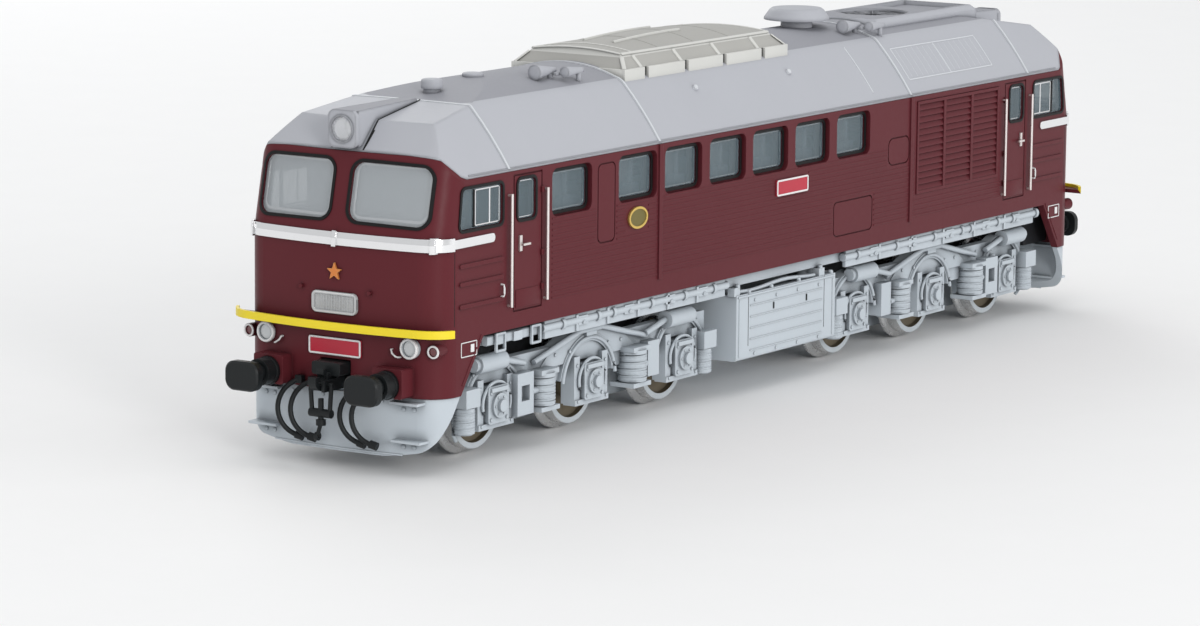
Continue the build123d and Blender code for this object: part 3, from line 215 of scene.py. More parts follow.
# Darker copy of the hatch white for the hatch's top and sloping screens: painted shade, as the light falls
# mostly from the sides.
hatch_shade_grey = finish("hatch_shade_grey", (0.39, 0.385, 0.365), 0.62, tint=0.06, bump=0.4, grain=2600, corner_shade=0.45,
                     corner_shade_colour=(0.12, 0.12, 0.11), edge=0.10, specular=0.25)
light_grey = finish("bogie_grey", (0.51, 0.56, 0.605), 0.46, tint=0.05, bump=0.14, corner_shade=0.80,
                    corner_shade_colour=(0.035, 0.042, 0.052), corner_shade_reach=1.8, edge=0.10, specular=0.3, wear=0.30,
                    wear_colour=(0.80, 0.83, 0.87))
black = finish("black_plastic", (0.0085, 0.0105, 0.0115), 0.42, tint=0.15, bump=0.2, corner_shade=0.0, edge=0.08,
               specular=0.28, wear=0.25, wear_colour=(0.06, 0.065, 0.07))
rubber = finish("window_rubber", (0.006, 0.006, 0.0065), 0.5, tint=0.15, bump=0.12, corner_shade=0.0, edge=0.05,
                specular=0.25)
chrome = finish("bright_trim", (0.90, 0.90, 0.91), 0.16, metallic=1.0, tint=0.02, bump=0.04, spread=0.05,
                corner_shade=0.25, corner_shade_colour=(0.2, 0.2, 0.2), edge=0.08)
rail_steel = finish("handrail_steel", (0.80, 0.74, 0.72), 0.30, metallic=0.75, tint=0.05, bump=0.10,
                    corner_shade=0.2, edge=0.05)
wheel_rim = finish("wheel_rim_grey", (0.50, 0.54, 0.57), 0.42, tint=0.06, bump=0.15, corner_shade=0.5, edge=0.08)
tread = finish("wheel_tread", (0.68, 0.68, 0.68), 0.26, metallic=1.0, tint=0.04, bump=0.08, corner_shade=0.2,
               edge=0.06)
web = finish("wheel_web", (0.16, 0.13, 0.085), 0.45, metallic=0.6, tint=0.2, bump=0.25, corner_shade=0.5, edge=0.06)
yellow = finish("yellow_edge", (0.86, 0.68, 0.015), 0.42, tint=0.05, bump=0.12, corner_shade=0.3,
                corner_shade_colour=(0.25, 0.16, 0.01), edge=0.06)
red_plate = finish("plate_red", (0.46, 0.012, 0.035), 0.35, tint=0.06, bump=0.1, corner_shade=0.2, edge=0.05)
white = finish("white_paint", (0.78, 0.78, 0.78), 0.4, tint=0.04, bump=0.12, corner_shade=0.3,
               corner_shade_colour=(0.3, 0.3, 0.3), edge=0.05)
gold = finish("badge_gold", (0.72, 0.50, 0.13), 0.32, metallic=0.7, tint=0.1, bump=0.15, corner_shade=0.3, edge=0.05)
badge_field = finish("badge_field", (0.16, 0.13, 0.03), 0.4, metallic=0.3, tint=0.15, bump=0.15, edge=0.05)
star_paint = finish("star_orange", (0.66, 0.21, 0.04), 0.38, tint=0.1, bump=0.15, corner_shade=0.2, edge=0.05,
                    wear=0.6, wear_colour=(0.80, 0.55, 0.25))
mesh_grey = finish("cover_grey", (0.50, 0.51, 0.52), 0.45, tint=0.05, bump=0.3, corner_shade=0.3, edge=0.05)
# Near-black for the frame under the body: painted shade, for the deep shadow between the sill and the bogies.
frame_shade_black = finish("frame_shade_black", (0.022, 0.023, 0.026), 0.5, tint=0.15, bump=0.35, grain=1800, corner_shade=0.0,
                     edge=0.12, specular=0.3, wear=0.4, wear_colour=(0.10, 0.10, 0.11))
# Cast metal darkened nearly to black: partly its own colour, partly painted shade for the shadow inside the
# bogies.
cast_and_shade = finish("cast_frame_and_shade", (0.045, 0.047, 0.052), 0.5, metallic=0.3, tint=0.12, bump=0.35, grain=1800,
              edge=0.15)
weight_metal = finish("weight_metal", (0.13, 0.13, 0.135), 0.55, metallic=0.6, tint=0.15, bump=0.4,
                      edge=0.15)
steel = finish("machined_steel", (0.50, 0.50, 0.52), 0.30, metallic=1.0, tint=0.08, bump=0.12, edge=0.08)
brass = finish("machined_brass", (0.72, 0.50, 0.20), 0.28, metallic=1.0, tint=0.08, bump=0.12, edge=0.08)
board = finish("circuit_board", (0.02, 0.13, 0.055), 0.38, tint=0.2, bump=0.3, grain=900, edge=0.05)
chip = finish("circuit_chip", (0.02, 0.02, 0.022), 0.5, tint=0.1, bump=0.2, edge=0.05)
gear_plastic = finish("gear_plastic", (0.72, 0.69, 0.60), 0.42, tint=0.05, bump=0.15, edge=0.06)
interior = finish("cab_interior", (0.42, 0.44, 0.45), 0.55, tint=0.06, bump=0.2, edge=0.1)
machine_blue = finish("machinery_blue", (0.30, 0.37, 0.43), 0.45, tint=0.12, bump=0.2, corner_shade=0.5, edge=0.1)
glass = clear("window_glass", (0.13, 0.185, 0.215), 0.50)
# Lighter copy of the window glass for the windscreens: a painted reflection of the bright surroundings.
screen_reflection_glass = clear("screen_reflection_glass", (0.52, 0.56, 0.59), 0.50)
lens_glass = clear("lens_glass", (0.90, 0.92, 0.94), 0.30)
reflector = finish("lamp_reflector", (0.90, 0.90, 0.92), 0.10, metallic=1.0, tint=0.03, bump=0.05, corner_shade=0.0,
                   edge=0.0)
lamp_bowl = finish("lamp_bowl", (0.50, 0.52, 0.53), 0.12, metallic=0.6, tint=0.05, bump=0.05, corner_shade=0.5,
                   corner_shade_colour=(0.08, 0.08, 0.08), corner_shade_reach=0.5, coat=1.0, edge=0.0)
seam_grey = finish("roof_seam_grey", (0.58, 0.60, 0.63), 0.5, tint=0.03, bump=0.12, corner_shade=0.0, edge=0.05)
tail_red = finish("tail_red", (0.12, 0.010, 0.014), 0.12, coat=1.0, tint=0.05, bump=0.05, corner_shade=0.0, edge=0.0)


def paint(name, *choices):
    """Give a CAD node its finishes: each choice is a material and a test of a face's middle and normal."""
    piece = nodes[name]
    piece.data.materials.clear()
    for material, _ in choices:
        piece.data.materials.append(material)
    for face in piece.data.polygons:
        c = face.center / MM
        c.z -= rail / MM
        face.material_index = 0
        for index, (_, test) in enumerate(choices[1:], 1):
            if test(c, face.normal):
                face.material_index = index


# ------------------------------------------------------------------ mesh tools
def publish(name, bm, material, body, angle=35):
    """Turn a built mesh into a piece with its finish, on its body."""
    mesh = bpy.data.meshes.new(name)
    bmesh.ops.recalc_face_normals(bm, faces=bm.faces)
    bm.to_mesh(mesh)
    bm.free()
    piece = bpy.data.objects.new(name, mesh)
    bpy.context.scene.collection.objects.link(piece)
    for entry in material if isinstance(material, (list, tuple)) else [material]:
        mesh.materials.append(entry)
    mesh.shade_smooth()
    mesh.set_sharp_from_angle(angle=math.radians(angle))
    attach(piece, body)
    return piece


def sorted_box(a, b):
    """The low and high corners of the box between two points."""
    return [tuple(min(p, q) for p, q in zip(a, b)), tuple(max(p, q) for p, q in zip(a, b))]


def add_bar(bm, a, b, bevel=0.05, index=0):
    """Box with rounded edges between two corners in millimetres above the rail."""
    low, high = sorted_box(a, b)
    size = [q - p for p, q in zip(low, high)]
    middle = at(*[(p + q) / 2 for p, q in zip(low, high)])
    verts = bmesh.ops.create_cube(bm, size=1.0)["verts"]
    bmesh.ops.scale(bm, vec=Vector([s * MM for s in size]), verts=verts)
    width = min(bevel, min(size) * 0.45) * MM
    edges = list({e for v in verts for e in v.link_edges})
    out = bmesh.ops.bevel(bm, geom=edges, offset=width, segments=2, profile=0.6, affect="EDGES")
    verts = list({v for f in out["faces"] for v in f.verts} | {v for v in verts if v.is_valid})
    bmesh.ops.translate(bm, vec=middle, verts=verts)
    for face in {f for v in verts for f in v.link_faces}:
        face.material_index = index


def circle(bm, middle, across, lift, radius, sides):
    """Ring of vertices about a middle, with its radius in millimetres."""
    angles = [2 * math.pi * k / sides for k in range(sides)]
    return [bm.verts.new(middle + (across * math.cos(a) + lift * math.sin(a)) * radius * MM) for a in angles]


def bridge(bm, loops, index=0):
    """Four-sided faces from each loop of vertices to the next."""
    for l0, l1 in zip(loops, loops[1:]):
        for k in range(len(l0)):
            n = (k + 1) % len(l0)
            bm.faces.new((l0[k], l0[n], l1[n], l1[k])).material_index = index


def cap(bm, loops):
    """Close the first and the last loop."""
    for ring in (loops[0], loops[-1]):
        bm.faces.new(ring)


def axes_of(axis):
    """A unit axis with two directions across it."""
    axis = Vector(axis).normalized()
    across = axis.orthogonal().normalized()
    return axis, across, axis.cross(across)


def add_tube(bm, points, radius, sides=12):
    """Round bar that follows points in millimetres above the rail."""
    route = [at(*p) for p in points]
    rings = []
    for i, p in enumerate(route):
        ahead = (route[min(i + 1, len(route) - 1)] - route[max(i - 1, 0)]).normalized()
        across = ahead.cross(Vector((0, 0, 1)) if abs(ahead.z) < 0.95 else Vector((1, 0, 0))).normalized()
        rings.append(circle(bm, p, across, across.cross(ahead), radius, sides))
    bridge(bm, rings)
    cap(bm, rings)


def add_turned(bm, profile, centre, axis, sides=32):
    """Turned solid: profile is (along, radius) in millimetres, starting and ending on the axis."""
    axis, across, lift = axes_of(axis)
    origin = at(*centre)
    rings = []
    for along, radius in profile:
        middle = origin + axis * along * MM
        rings.append(circle(bm, middle, across, lift, radius, sides) if radius else [bm.verts.new(middle)])
    for k in range(sides):
        n = (k + 1) % sides
        bm.faces.new((rings[0][0], rings[1][n], rings[1][k]))
    bridge(bm, rings[1:-1])
    for k in range(sides):
        n = (k + 1) % sides
        bm.faces.new((rings[-2][k], rings[-2][n], rings[-1][0]))


def add_ring(bm, profile, centre, axis, sides=32):
    """Turned ring with an open middle: profile is a closed line of (along, radius)."""
    axis, across, lift = axes_of(axis)
    origin = at(*centre)
    loops = [circle(bm, origin + axis * along * MM, across, lift, radius, sides) for along, radius in profile]
    bridge(bm, loops + loops[:1])


def rounded_ring(half_w, half_h, radius, steps=6):
    """Points of a rounded rectangle about its middle."""
    points = []
    for sx, sy, start in ((1, 1, 0), (-1, 1, 90), (-1, -1, 180), (1, -1, 270)):
        for k in range(steps + 1):
            a = math.radians(start + 90 * k / steps)
            points.append((sx * (half_w - radius) + radius * math.cos(a),
                           sy * (half_h - radius) + radius * math.sin(a)))
    return points


def add_frame(bm, half_w, half_h, radius, width, place, depth):
    """Rounded rectangular frame of a given width; place turns (across, up, out) into a position."""
    outer = rounded_ring(half_w, half_h, radius)
    inner = rounded_ring(half_w - width, half_h - width, max(0.05, radius - width))
    middle = [((a[0] + b[0]) / 2, (a[1] + b[1]) / 2) for a, b in zip(outer, inner)]
    levels = ((outer, 0), (outer, depth * 0.7), (middle, depth), (inner, depth * 0.7), (inner, 0))
    loops = [[bm.verts.new(place(u, v, out)) for u, v in ring] for ring, out in levels]
    bridge(bm, loops + loops[:1])


def proud(c):
    """How far a point stands outside the body's floor outline, in millimetres."""
    x, y = abs(c.x), abs(c.y)
    if x > CORNER_X and y > CORNER_Y:
        return math.hypot(x - CORNER_X, y - CORNER_Y) - CORNER_R
    if x > CORNER_X:
        return math.hypot(x - BULGE_X, y) - BULGE_R
    return y - SIDE


def near_axis(c, y, z):
    """Distance of a point from a lamp's axis on either hand."""
    return math.hypot(abs(c.y) - y, c.z - z)


def reach(c, x, z):
    """Distance of a point from a wheelset's axis."""
    return math.hypot(c.x - x, c.z - z)


def on_side(x, z, sign, out=0.0):
    """Placing function for a frame on the left (1) or right (-1) body side."""
    return lambda u, v, d: at(x + u, sign * (SIDE + out + d), z + v)


# ------------------------------------------------------------------ finishes on the CAD nodes
paint("body_shell", (maroon, None))
paint("side_grilles", (maroon, None))
# The flat roof top and the tops of the lamp housings get the darker top grey: painted shade.
paint("roof_shell", (roof_grey, None), (top_shade_grey, lambda c, n: n.z > 0.93 and c.z > 48.6),
      (seam_grey, lambda c, n: min(abs(abs(c.x) - CAB_SEAM), abs(abs(c.x) - MID_SEAM)) < 0.24))
paint("headlight_housings", (roof_grey, None), (top_shade_grey, lambda c, n: n.z > 0.9),
      (reflector, lambda c, n: abs(c.x) < 91.1 and math.hypot(c.y, c.z - HEADLIGHT_Z) < 1.77))
for name in ("roof_vents", "exhaust_cap", "horns"):
    paint(name, (roof_grey, None))
# The radiator housing's top gets the darker top grey too: painted shade.
paint("radiator_housing", (roof_grey, None), (top_shade_grey, lambda c, n: n.z > 0.9))
# The hatch's faces that look up get the darker hatch grey: painted shade.
paint("roof_hatch", (hatch_white, None), (hatch_shade_grey, lambda c, n: n.z > 0.6 and c.z > 49.9))
# The windscreens take the lighter glass: painted reflection.
paint("windows", (glass, None), (screen_reflection_glass, lambda c, n: abs(c.x) > 88.2 and abs(c.y) < 14.4))
paint("window_seals", (rubber, None))
paint("trim_bands", (chrome, None))
paint("door_handrails", (rail_steel, None))
paint("headlight_lenses", (lens_glass, None))
paint("footboards", (maroon, None), (yellow, lambda c, n: proud(c) > 1.85))
paint("number_plates", (red_plate, None))
paint("side_emblems", (gold, None), (badge_field, lambda c, n: abs(abs(c.y) - SIDE - 0.2) < 0.03))
paint("nose_fittings", (star_paint, None), (mesh_grey, lambda c, n: c.z < 24 and abs(c.y) < 4.6),
      (maroon, lambda c, n: abs(c.y) > 4.6))
paint("signal_lamps", (wheel_rim, None),
      (lamp_bowl, lambda c, n: near_axis(c, MARKER_Y, MARKER_Z) < 1.02),
      (maroon, lambda c, n: abs(c.y) > 14),
      (tail_red, lambda c, n: abs(c.y) > 14 and abs(c.x) > 91.2 and near_axis(c, TAIL_Y, TAIL_Z) < 0.57))
paint("snow_ploughs", (light_grey, None))
paint("brake_hoses", (black, None))
paint("buffer_sleeves", (black, None))
paint("coupling_hooks", (black, None))
for end in ("front", "rear"):
    paint(f"screw_link_{end}", (black, None))
    for hand in ("left", "right"):
        paint(f"buffer_{end}_{hand}", (black, None))
    paint(f"bogie_frame_{end}", (light_grey, None))
    paint(f"keeper_plate_{end}", (light_grey, None))
    # The gearbox takes the darkened cast metal: partly painted shade.
    paint(f"gearbox_{end}", (cast_and_shade, None))
    paint(f"contact_strips_{end}", (brass, None))
    paint(f"transfer_gear_{end}", (gear_plastic, None))
    paint(f"worm_{end}", (steel, None))
    for which in ("outer", "middle", "inner"):
        name = f"{which}_wheelset_{end}"
        low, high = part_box(name)
        hub_x, hub_z = (low.x + high.x) / 2 / MM, WHEEL_Z
        paint(name, (tread, None),
              (wheel_rim, lambda c, n: abs(c.y) > 9.9 and reach(c, hub_x, hub_z) > 4.9),
              (web, lambda c, n: abs(c.y) > 8.8 and reach(c, hub_x, hub_z) < 5.2),
              (gear_plastic, lambda c, n: abs(c.y) < 1.3))
paint("radiator_fan", (cast_and_shade, None))
# The frame is near-black inside the sill: painted shade, for the shadow under the body; the sill itself keeps
# its grey.
paint("main_frame", (frame_shade_black, None), (light_grey, lambda c, n: abs(c.y) > 14.3))
paint("underframe_equipment", (light_grey, None))
paint("fuel_tank", (light_grey, None))
paint("speaker", (black, None))
paint("body_screws", (steel, None))
paint("motor", (steel, None))
paint("motor_shaft", (steel, None))
paint("flywheels", (brass, None))
paint("ballast_weights", (weight_metal, None))
paint("circuit_board", (board, None), (chip, lambda c, n: c.z > 32.62))
paint("cab_interiors", (interior, None))


# ------------------------------------------------------------------ laying detail on curved skins
skins = {}


def skin(name):
    """Search tree of a CAD node, for laying detail on its surface."""
    if name not in skins:
        mesh = nodes[name].data
        spots = [nodes[name].matrix_world @ v.co for v in mesh.vertices]
        skins[name] = BVHTree.FromPolygons(spots, [tuple(p.vertices) for p in mesh.polygons])
    return skins[name]


def touch(name, point, heading):
    """Where a line from a point along a heading first meets a node, and which way the skin faces there."""
    spot, facing, _, _ = skin(name).ray_cast(at(*point), Vector(heading).normalized(), 0.06)
    return spot, facing


def add_strip(bm, places, width, height):
    """Low rounded bead along (spot, facing) places on a skin, sunk a little into it."""
    shape = ((-0.5, -0.05), (-0.42, height * 0.6), (-0.2, height),
             (0.2, height), (0.42, height * 0.6), (0.5, -0.05))
    rings = []
    for i, (spot, facing) in enumerate(places):
        ahead = (places[min(i + 1, len(places) - 1)][0] - places[max(i - 1, 0)][0]).normalized()
        across = ahead.cross(facing).normalized()
        rings.append([bm.verts.new(spot + across * a * width * MM + facing * h * MM) for a, h in shape])
    bridge(bm, rings)
    cap(bm, rings)


def lay(bm, name, start, stop, heading, width, height, steps=12):
    """Bead on a node's skin under a straight line between two points."""
    places = []
    for i in range(steps + 1):
        point = [a + (b - a) * i / steps for a, b in zip(start, stop)]
        spot, facing = touch(name, point, heading)
        if spot is not None:
            places.append((spot, facing))
    if len(places) > 1:
        add_strip(bm, places, width, height)


def add_bolt(bm, spot, facing, radius, height, sides=6):
    """Bolt or rivet head standing on a skin."""
    across = facing.orthogonal().normalized()
    lift = facing.cross(across)
    rings = [circle(bm, spot + facing * out * MM, across, lift, r, sides)
             for out, r in ((-0.08, radius), (height * 0.7, radius), (height, radius * 0.72))]
    bridge(bm, rings)
    cap(bm, rings)


def bolt_on(bm, name, point, heading, radius, height, sides=6):
    """Bolt where a line from a point meets a node."""
    spot, facing = touch(name, point, heading)
    if spot is not None:
        add_bolt(bm, spot, facing, radius, height, sides)


def add_coil(bm, foot, height, radius, wire=0.235, turns=8):
    """Upright helical spring standing on foot."""
    steps = 16
    route = []
    for i in range(turns * steps + 1):
        a = 2 * math.pi * i / steps
        route.append((foot[0] + radius * math.cos(a), foot[1] + radius * math.sin(a),
                      foot[2] + wire + (height - 2 * wire) * i / (turns * steps)))
    add_tube(bm, route, wire, 6)


def open_spans(x0, x1, gaps):
    """What is left of a line from x0 to x1 when the gaps are taken out."""
    left, start = [], x0
    for a, b in sorted(gaps):
        if b <= start or a >= x1:
            continue
        if a > start:
            left.append((start, a))
        start = max(start, b)
    if start < x1:
        left.append((start, x1))
    return left


def nose_at(y):
    """How far forward the lower nose stands at a distance y from its middle."""
    return BULGE_X + math.sqrt(BULGE_R ** 2 - y ** 2)


def screen_at(y, v):
    """How far forward the leaning windscreen face stands, v above the middle of the screens."""
    return nose_at(y) - (SCREEN_Z + v - SCREEN_FOOT) * SCREEN_LEAN


# ------------------------------------------------------------------ body sides
# Where the ribs stop for seams, plates and panels: x from, x to, z from, z to.
RIB_GAPS = ((-37.2, -35.8, 0, 50), (35.8, 37.2, 0, 50), (39.6, 45.6, 27.6, 31.8), (-5.2, 4.8, 28.0, 31.4),
            (-36.4, -28.9, 29.1, 34.3), (-25.1, -12.4, 19.8, 26.1), (47.9, 53.3, 26.6, 38.9))
for hand, side in HANDS:
    bm = bmesh.new()
    for i in range(15):
        z = 20.8 + 0.8 * i
        gaps = [(x0, x1) for x0, x1, z0, z1 in RIB_GAPS if z0 < z < z1]
        if z > 23.4:
            gaps.append((-66.0, -37.6))
        for x0, x1 in open_spans(-65.6, 64.4, gaps):
            places = [(at(x, side * SIDE, z), Vector((0, side, 0))) for x in (x0, x1)]
            add_strip(bm, places, 0.34, 0.07)
    publish(f"side_ribs_{hand}", bm, maroon, "root")

    # Hinges and kick plates of the cab doors, and the bead down the sloping end of the side.
    bm = bmesh.new()
    for _, end in ENDS:
        for z in (22.4, 27.2, 36.0):
            low, high = (end * 66.6, side * (SIDE - 0.05), z), (end * 67.3, side * (SIDE + 0.28), z + 0.9)
            add_bar(bm, low, high, 0.08)
        low, high = (end * 67.6, side * (SIDE - 0.05), 20.5), (end * 73.4, side * (SIDE + 0.1), 23.0)
        add_bar(bm, low, high, 0.06)
        low, high = (end * 81.6, side * BESIDE, 17.9), (end * 86.2, side * BESIDE, 11.4)
        lay(bm, "body_shell", low, high, (0, -side, 0), 0.25, 0.1, 4)
    publish(f"door_fittings_{hand}", bm, maroon, "root")

    # White lines: the side plate's border, the blank sign by each cab, and the cab's small handle.
    bm = bmesh.new()
    add_frame(bm, 4.52, 1.22, 0.35, 0.26, on_side(*SIDE_PLATE, side, 0.22), 0.15)
    for _, end in ENDS:
        sign_x, sign_z = end * SIDE_SIGN[0], SIDE_SIGN[1]
        add_frame(bm, 1.9, 1.05, 0.15, 0.14, on_side(sign_x, sign_z, side, -0.05), 0.14)
        low = (sign_x - 1.2, side * (SIDE - 0.05), sign_z - 0.5)
        high = (sign_x - 0.4, side * (SIDE + 0.09), sign_z + 0.6)
        add_bar(bm, low, high, 0.04)
        grip = ((-0.1, 24.3), (0.45, 24.25), (0.55, 23.9), (0.55, 23.0), (0.45, 22.65), (-0.1, 22.6))
        add_tube(bm, [(end * 76.9, side * (SIDE + out), z) for out, z in grip], 0.14, 8)
    publish(f"side_markings_{hand}", bm, white, "root")

    # Bright sliding frames inside the cab windows, and slim bright rings in the others: painted highlights
    # standing in for the glint of light on the glass edges.
    bm = bmesh.new()
    out = -0.3
    for _, end in ENDS:
        for u0, u1 in ((77.0, 79.6), (79.3, 83.0)):
            mid, half = (u0 + u1) / 2, (u1 - u0) / 2
            add_frame(bm, half, 2.55, 0.3, 0.22, on_side(end * mid, WINDOW_Z, side, out), 0.10)
        low, high = (end * 83.1, side * (SIDE - 0.55), 33.0), (end * 83.5, side * (SIDE - 0.12), 38.2)
        add_bar(bm, low, high, 0.06, 1)
        add_frame(bm, 1.95, 2.6, 0.6, 0.16, on_side(end * DOOR_X, WINDOW_Z, side, out), 0.06)
    # Painted highlights: slim bright rings that copy the glint on the engine-room window glass.
    for x in WINDOWS_X:
        add_frame(bm, 4.2, 2.62, 0.6, 0.14, on_side(x, WINDOW_Z, side, -1.0), 0.05)
    publish(f"window_frames_and_glints_{hand}", bm, [chrome, rubber], "root")

    # Machinery and lit wall panels seen through the windows.
    bm = bmesh.new()
    for x in WINDOWS_X:
        y0, y1 = side * 13.0, side * 14.3
        add_bar(bm, (x - 4.6, side * 12.2, 31.4), (x + 4.6, side * 12.6, 39.2), 0.1, 1)
        add_bar(bm, (x - 4.0, y0, 31.6), (x - 1.2, y1, 34.2), 0.2)
        add_bar(bm, (x + 1.4, y0, 31.6), (x + 3.9, y1, 36.4), 0.3)
        bends = ((-2.6, 34.0), (-2.6, 37.4), (-1.6, 38.2), (2.6, 38.2))
        add_tube(bm, [(x + dx, side * 13.6, z) for dx, z in bends], 0.34, 10)
        add_turned(bm, [(-0.2, 0), (-0.2, 0.8), (0.3, 0.8), (0.4, 0.5), (0.4, 0)],
                   (x + 2.6, side * 14.2, 34.6), (0, side, 0), 20)
    publish(f"engine_room_{hand}", bm, [machine_blue, interior], "root")

# ------------------------------------------------------------------ noses
# Profiles of turned rings: how far out, and the radius.
MARKER_RING = ((0.5, 1.14), (0.74, 1.14), (0.80, 1.22), (0.78, 1.36), (0.66, 1.46), (0.3, 1.46), (0.3, 1.38))
TAIL_RING = ((0.0, 0.66), (0.16, 0.66), (0.2, 0.76), (0.14, 0.9), (0.0, 0.92))
HEADLIGHT_RING = ((-0.1, 1.70), (0.16, 1.70), (0.24, 1.84), (0.16, 2.0), (-0.1, 2.0))
for end_name, end in ENDS:
    # Borders of the number plate and the cable cover, and two small handles.
    bm = bmesh.new()
    add_frame(bm, 4.42, 1.24, 0.35, 0.26,
              lambda u, v, d: at(end * (nose_at(u) + 0.22 + d), u, NOSE_PLATE_Z + v), 0.16)
    add_frame(bm, 3.8, 1.5, 0.8, 0.34,
              lambda u, v, d: at(end * (nose_at(u) + 0.18 + d), u, NOSE_COVER_Z + v), 0.24)
    for y in (-1, 1):
        x = nose_at(10)
        add_tube(bm, [(end * (x - 0.1), y * 9.3, 16.6), (end * (x + 0.45), y * 9.35, 16.6),
                      (end * (x + 0.6), y * 9.6, 16.1), (end * (x + 0.6), y * 10.2, 15.7),
                      (end * (x + 0.45), y * 10.5, 15.6), (end * (x - 0.1), y * 10.6, 15.6)], 0.13, 8)
    publish(f"nose_markings_{end_name}", bm, white, "root")

    bm = bmesh.new()
    for i in range(15):
        y = -3.15 + 0.45 * i
        low = (end * (nose_at(y) + 0.05), y - 0.06, 21.05)
        high = (end * (nose_at(y) + 0.26), y + 0.06, 23.35)
        add_bar(bm, low, high, 0.03)
    for i in range(6):
        z = 21.2 + 0.4 * i
        row = (-3.3, -1.6, 0, 1.6, 3.3)
        places = [(at(end * (nose_at(y) + 0.12), y, z), Vector((end, 0, 0))) for y in row]
        add_strip(bm, places, 0.12, 0.1)
    publish(f"cover_grid_{end_name}", bm, mesh_grey, "root")

    # Rings of the marker and tail lamps, and of the headlight.
    bm = bmesh.new()
    for y in (-1, 1):
        add_ring(bm, MARKER_RING, (end * nose_at(MARKER_Y), y * MARKER_Y, MARKER_Z), (end, 0, 0))
        add_ring(bm, TAIL_RING, (end * 91.6, y * 15.7, TAIL_Z), (end, y * 0.1, 0))
    publish(f"lamp_rings_{end_name}", bm, white, "root")
    bm = bmesh.new()
    add_ring(bm, HEADLIGHT_RING, (end * 91.2, 0, HEADLIGHT_Z), (end, 0, 0), 40)
    publish(f"headlight_rim_{end_name}", bm, roof_grey, "root")

    # Bright rings along the edges of the windscreen panes: painted highlights standing in for the glint of
    # light in the thick glass edges.
    bm = bmesh.new()
    for y in (-SCREEN_Y, SCREEN_Y):
        add_frame(bm, 6.05, 3.85, 1.4, 0.42,
                  lambda u, v, d: at(end * (screen_at(y + u, v) - 0.55 + d), y + u, SCREEN_Z + v), 0.10)
    publish(f"windscreen_glints_{end_name}", bm, chrome, "root")

    # Bolts and the lower bead of the plough.
    bm = bmesh.new()
    for y in (-12.6, -11.0, 11.0, 12.6):
        for z in (8.4, 3.2):
            bolt_on(bm, "snow_ploughs", (end * AHEAD, y, z), (-end, 0, 0), 0.32, 0.16)
    for y in (-7.6, -2.2, 2.2, 7.6):
        bolt_on(bm, "snow_ploughs", (end * AHEAD, y, 9.2), (-end, 0, 0), 0.26, 0.14)
    lay(bm, "snow_ploughs", (end * AHEAD, -13.0, 2.0), (end * AHEAD, 13.0, 2.0), (-end, 0, 0), 0.3, 0.12, 24)
    publish(f"plough_bolts_{end_name}", bm, light_grey, "root")

# Dark joints: round the headlight housings, and down the cab corners.
bm = bmesh.new()
for _, end in ENDS:
    for side in (-1, 1):
        places = []
        for i in range(61):
            dx = 0.25 * i
            place = (end * (CAB_SEAM + dx), side * (1.42 + 0.082 * dx), ABOVE)
            places.append(touch("roof_shell", place, (0, 0, -1)))
        for z in (45.6, 44.9, 44.2, 43.6):
            places.append(touch("roof_shell", (end * AHEAD, side * 2.68, z), (-end, 0, 0)))
        add_strip(bm, [p for p in places if p[0] is not None], 0.24, 0.10)
        low, high = (end * 88.0, side * BESIDE, 30.0), (end * 88.0, side * BESIDE, 19.8)
        lay(bm, "body_shell", low, high, (0, -side, 0), 0.14, 0.015, 2)
publish("dark_joints", bm, rubber, "root")

# ------------------------------------------------------------------ roof
DOWN = (0, 0, -1)
PANEL_X = (-65.4, -52.0, -38.6)
PANEL_Y = (11.3, 15.0)


def roof_line(bm, x0, x1, y0, y1, width, height, steps):
    """Bead on the roof between two places seen from above."""
    lay(bm, "roof_shell", (x0, y0, ABOVE), (x1, y1, ABOVE), DOWN, width, height, steps)


bm = bmesh.new()
for hand, side in HANDS:
    # Framed roof panels beside the fan curb, with their fine mesh.
    for y in PANEL_Y:
        roof_line(bm, PANEL_X[0], PANEL_X[-1], side * y, side * y, 0.24, 0.08, 20)
    for x in PANEL_X:
        roof_line(bm, x, x, side * PANEL_Y[0], side * PANEL_Y[1], 0.24, 0.08, 12)
    for i in range(15):
        x = -63.7 + 1.7 * i
        roof_line(bm, x, x, side * 11.5, side * 14.8, 0.10, 0.03, 12)
    roof_line(bm, -26.2, -26.2, side * 10.2, side * 15.6, 0.24, 0.08, 14)
    for x in (20.0, -6.5):
        bolt_on(bm, "roof_shell", (x, side * 12.0, ABOVE), DOWN, 0.42, 0.45, 12)
publish("roof_panels", bm, seam_grey, "root")

bm = bmesh.new()
for hand, side in HANDS:
    start, stop = (-84.5, side * BESIDE, 40.1), (84.5, side * BESIDE, 40.1)
    lay(bm, "roof_shell", start, stop, (0, -side, 0), 0.3, 0.1, 8)
publish("drip_rails", bm, roof_grey, "root")

bm = bmesh.new()
for radius in (1.7, 2.9, 4.1, 5.2):
    circuit = [math.radians(10 * a) for a in range(37)]
    add_tube(bm, [(FAN_X + radius * math.cos(a), radius * math.sin(a), 50.36) for a in circuit], 0.1, 6)
for i in range(12):
    c, s = math.cos(math.radians(30 * i)), math.sin(math.radians(30 * i))
    add_tube(bm, [(FAN_X + 1.4 * c, 1.4 * s, 50.42), (FAN_X + 5.7 * c, 5.7 * s, 50.42)], 0.12, 6)
publish("fan_guard", bm, roof_grey, "root")

# The roof hatch: a white lip in five lengths, sloping screens, and a gently crowned top.
HATCH_X0, HATCH_X1, HATCH_Y = -9.7, 35.8, 10.0
NOTCHES = (29.9, 19.0, 8.4, -2.6)
SCREEN_IN, TOP_IN, TOP_Z = 1.95, 2.35, 51.85
UP = Vector((0, 0, 1))


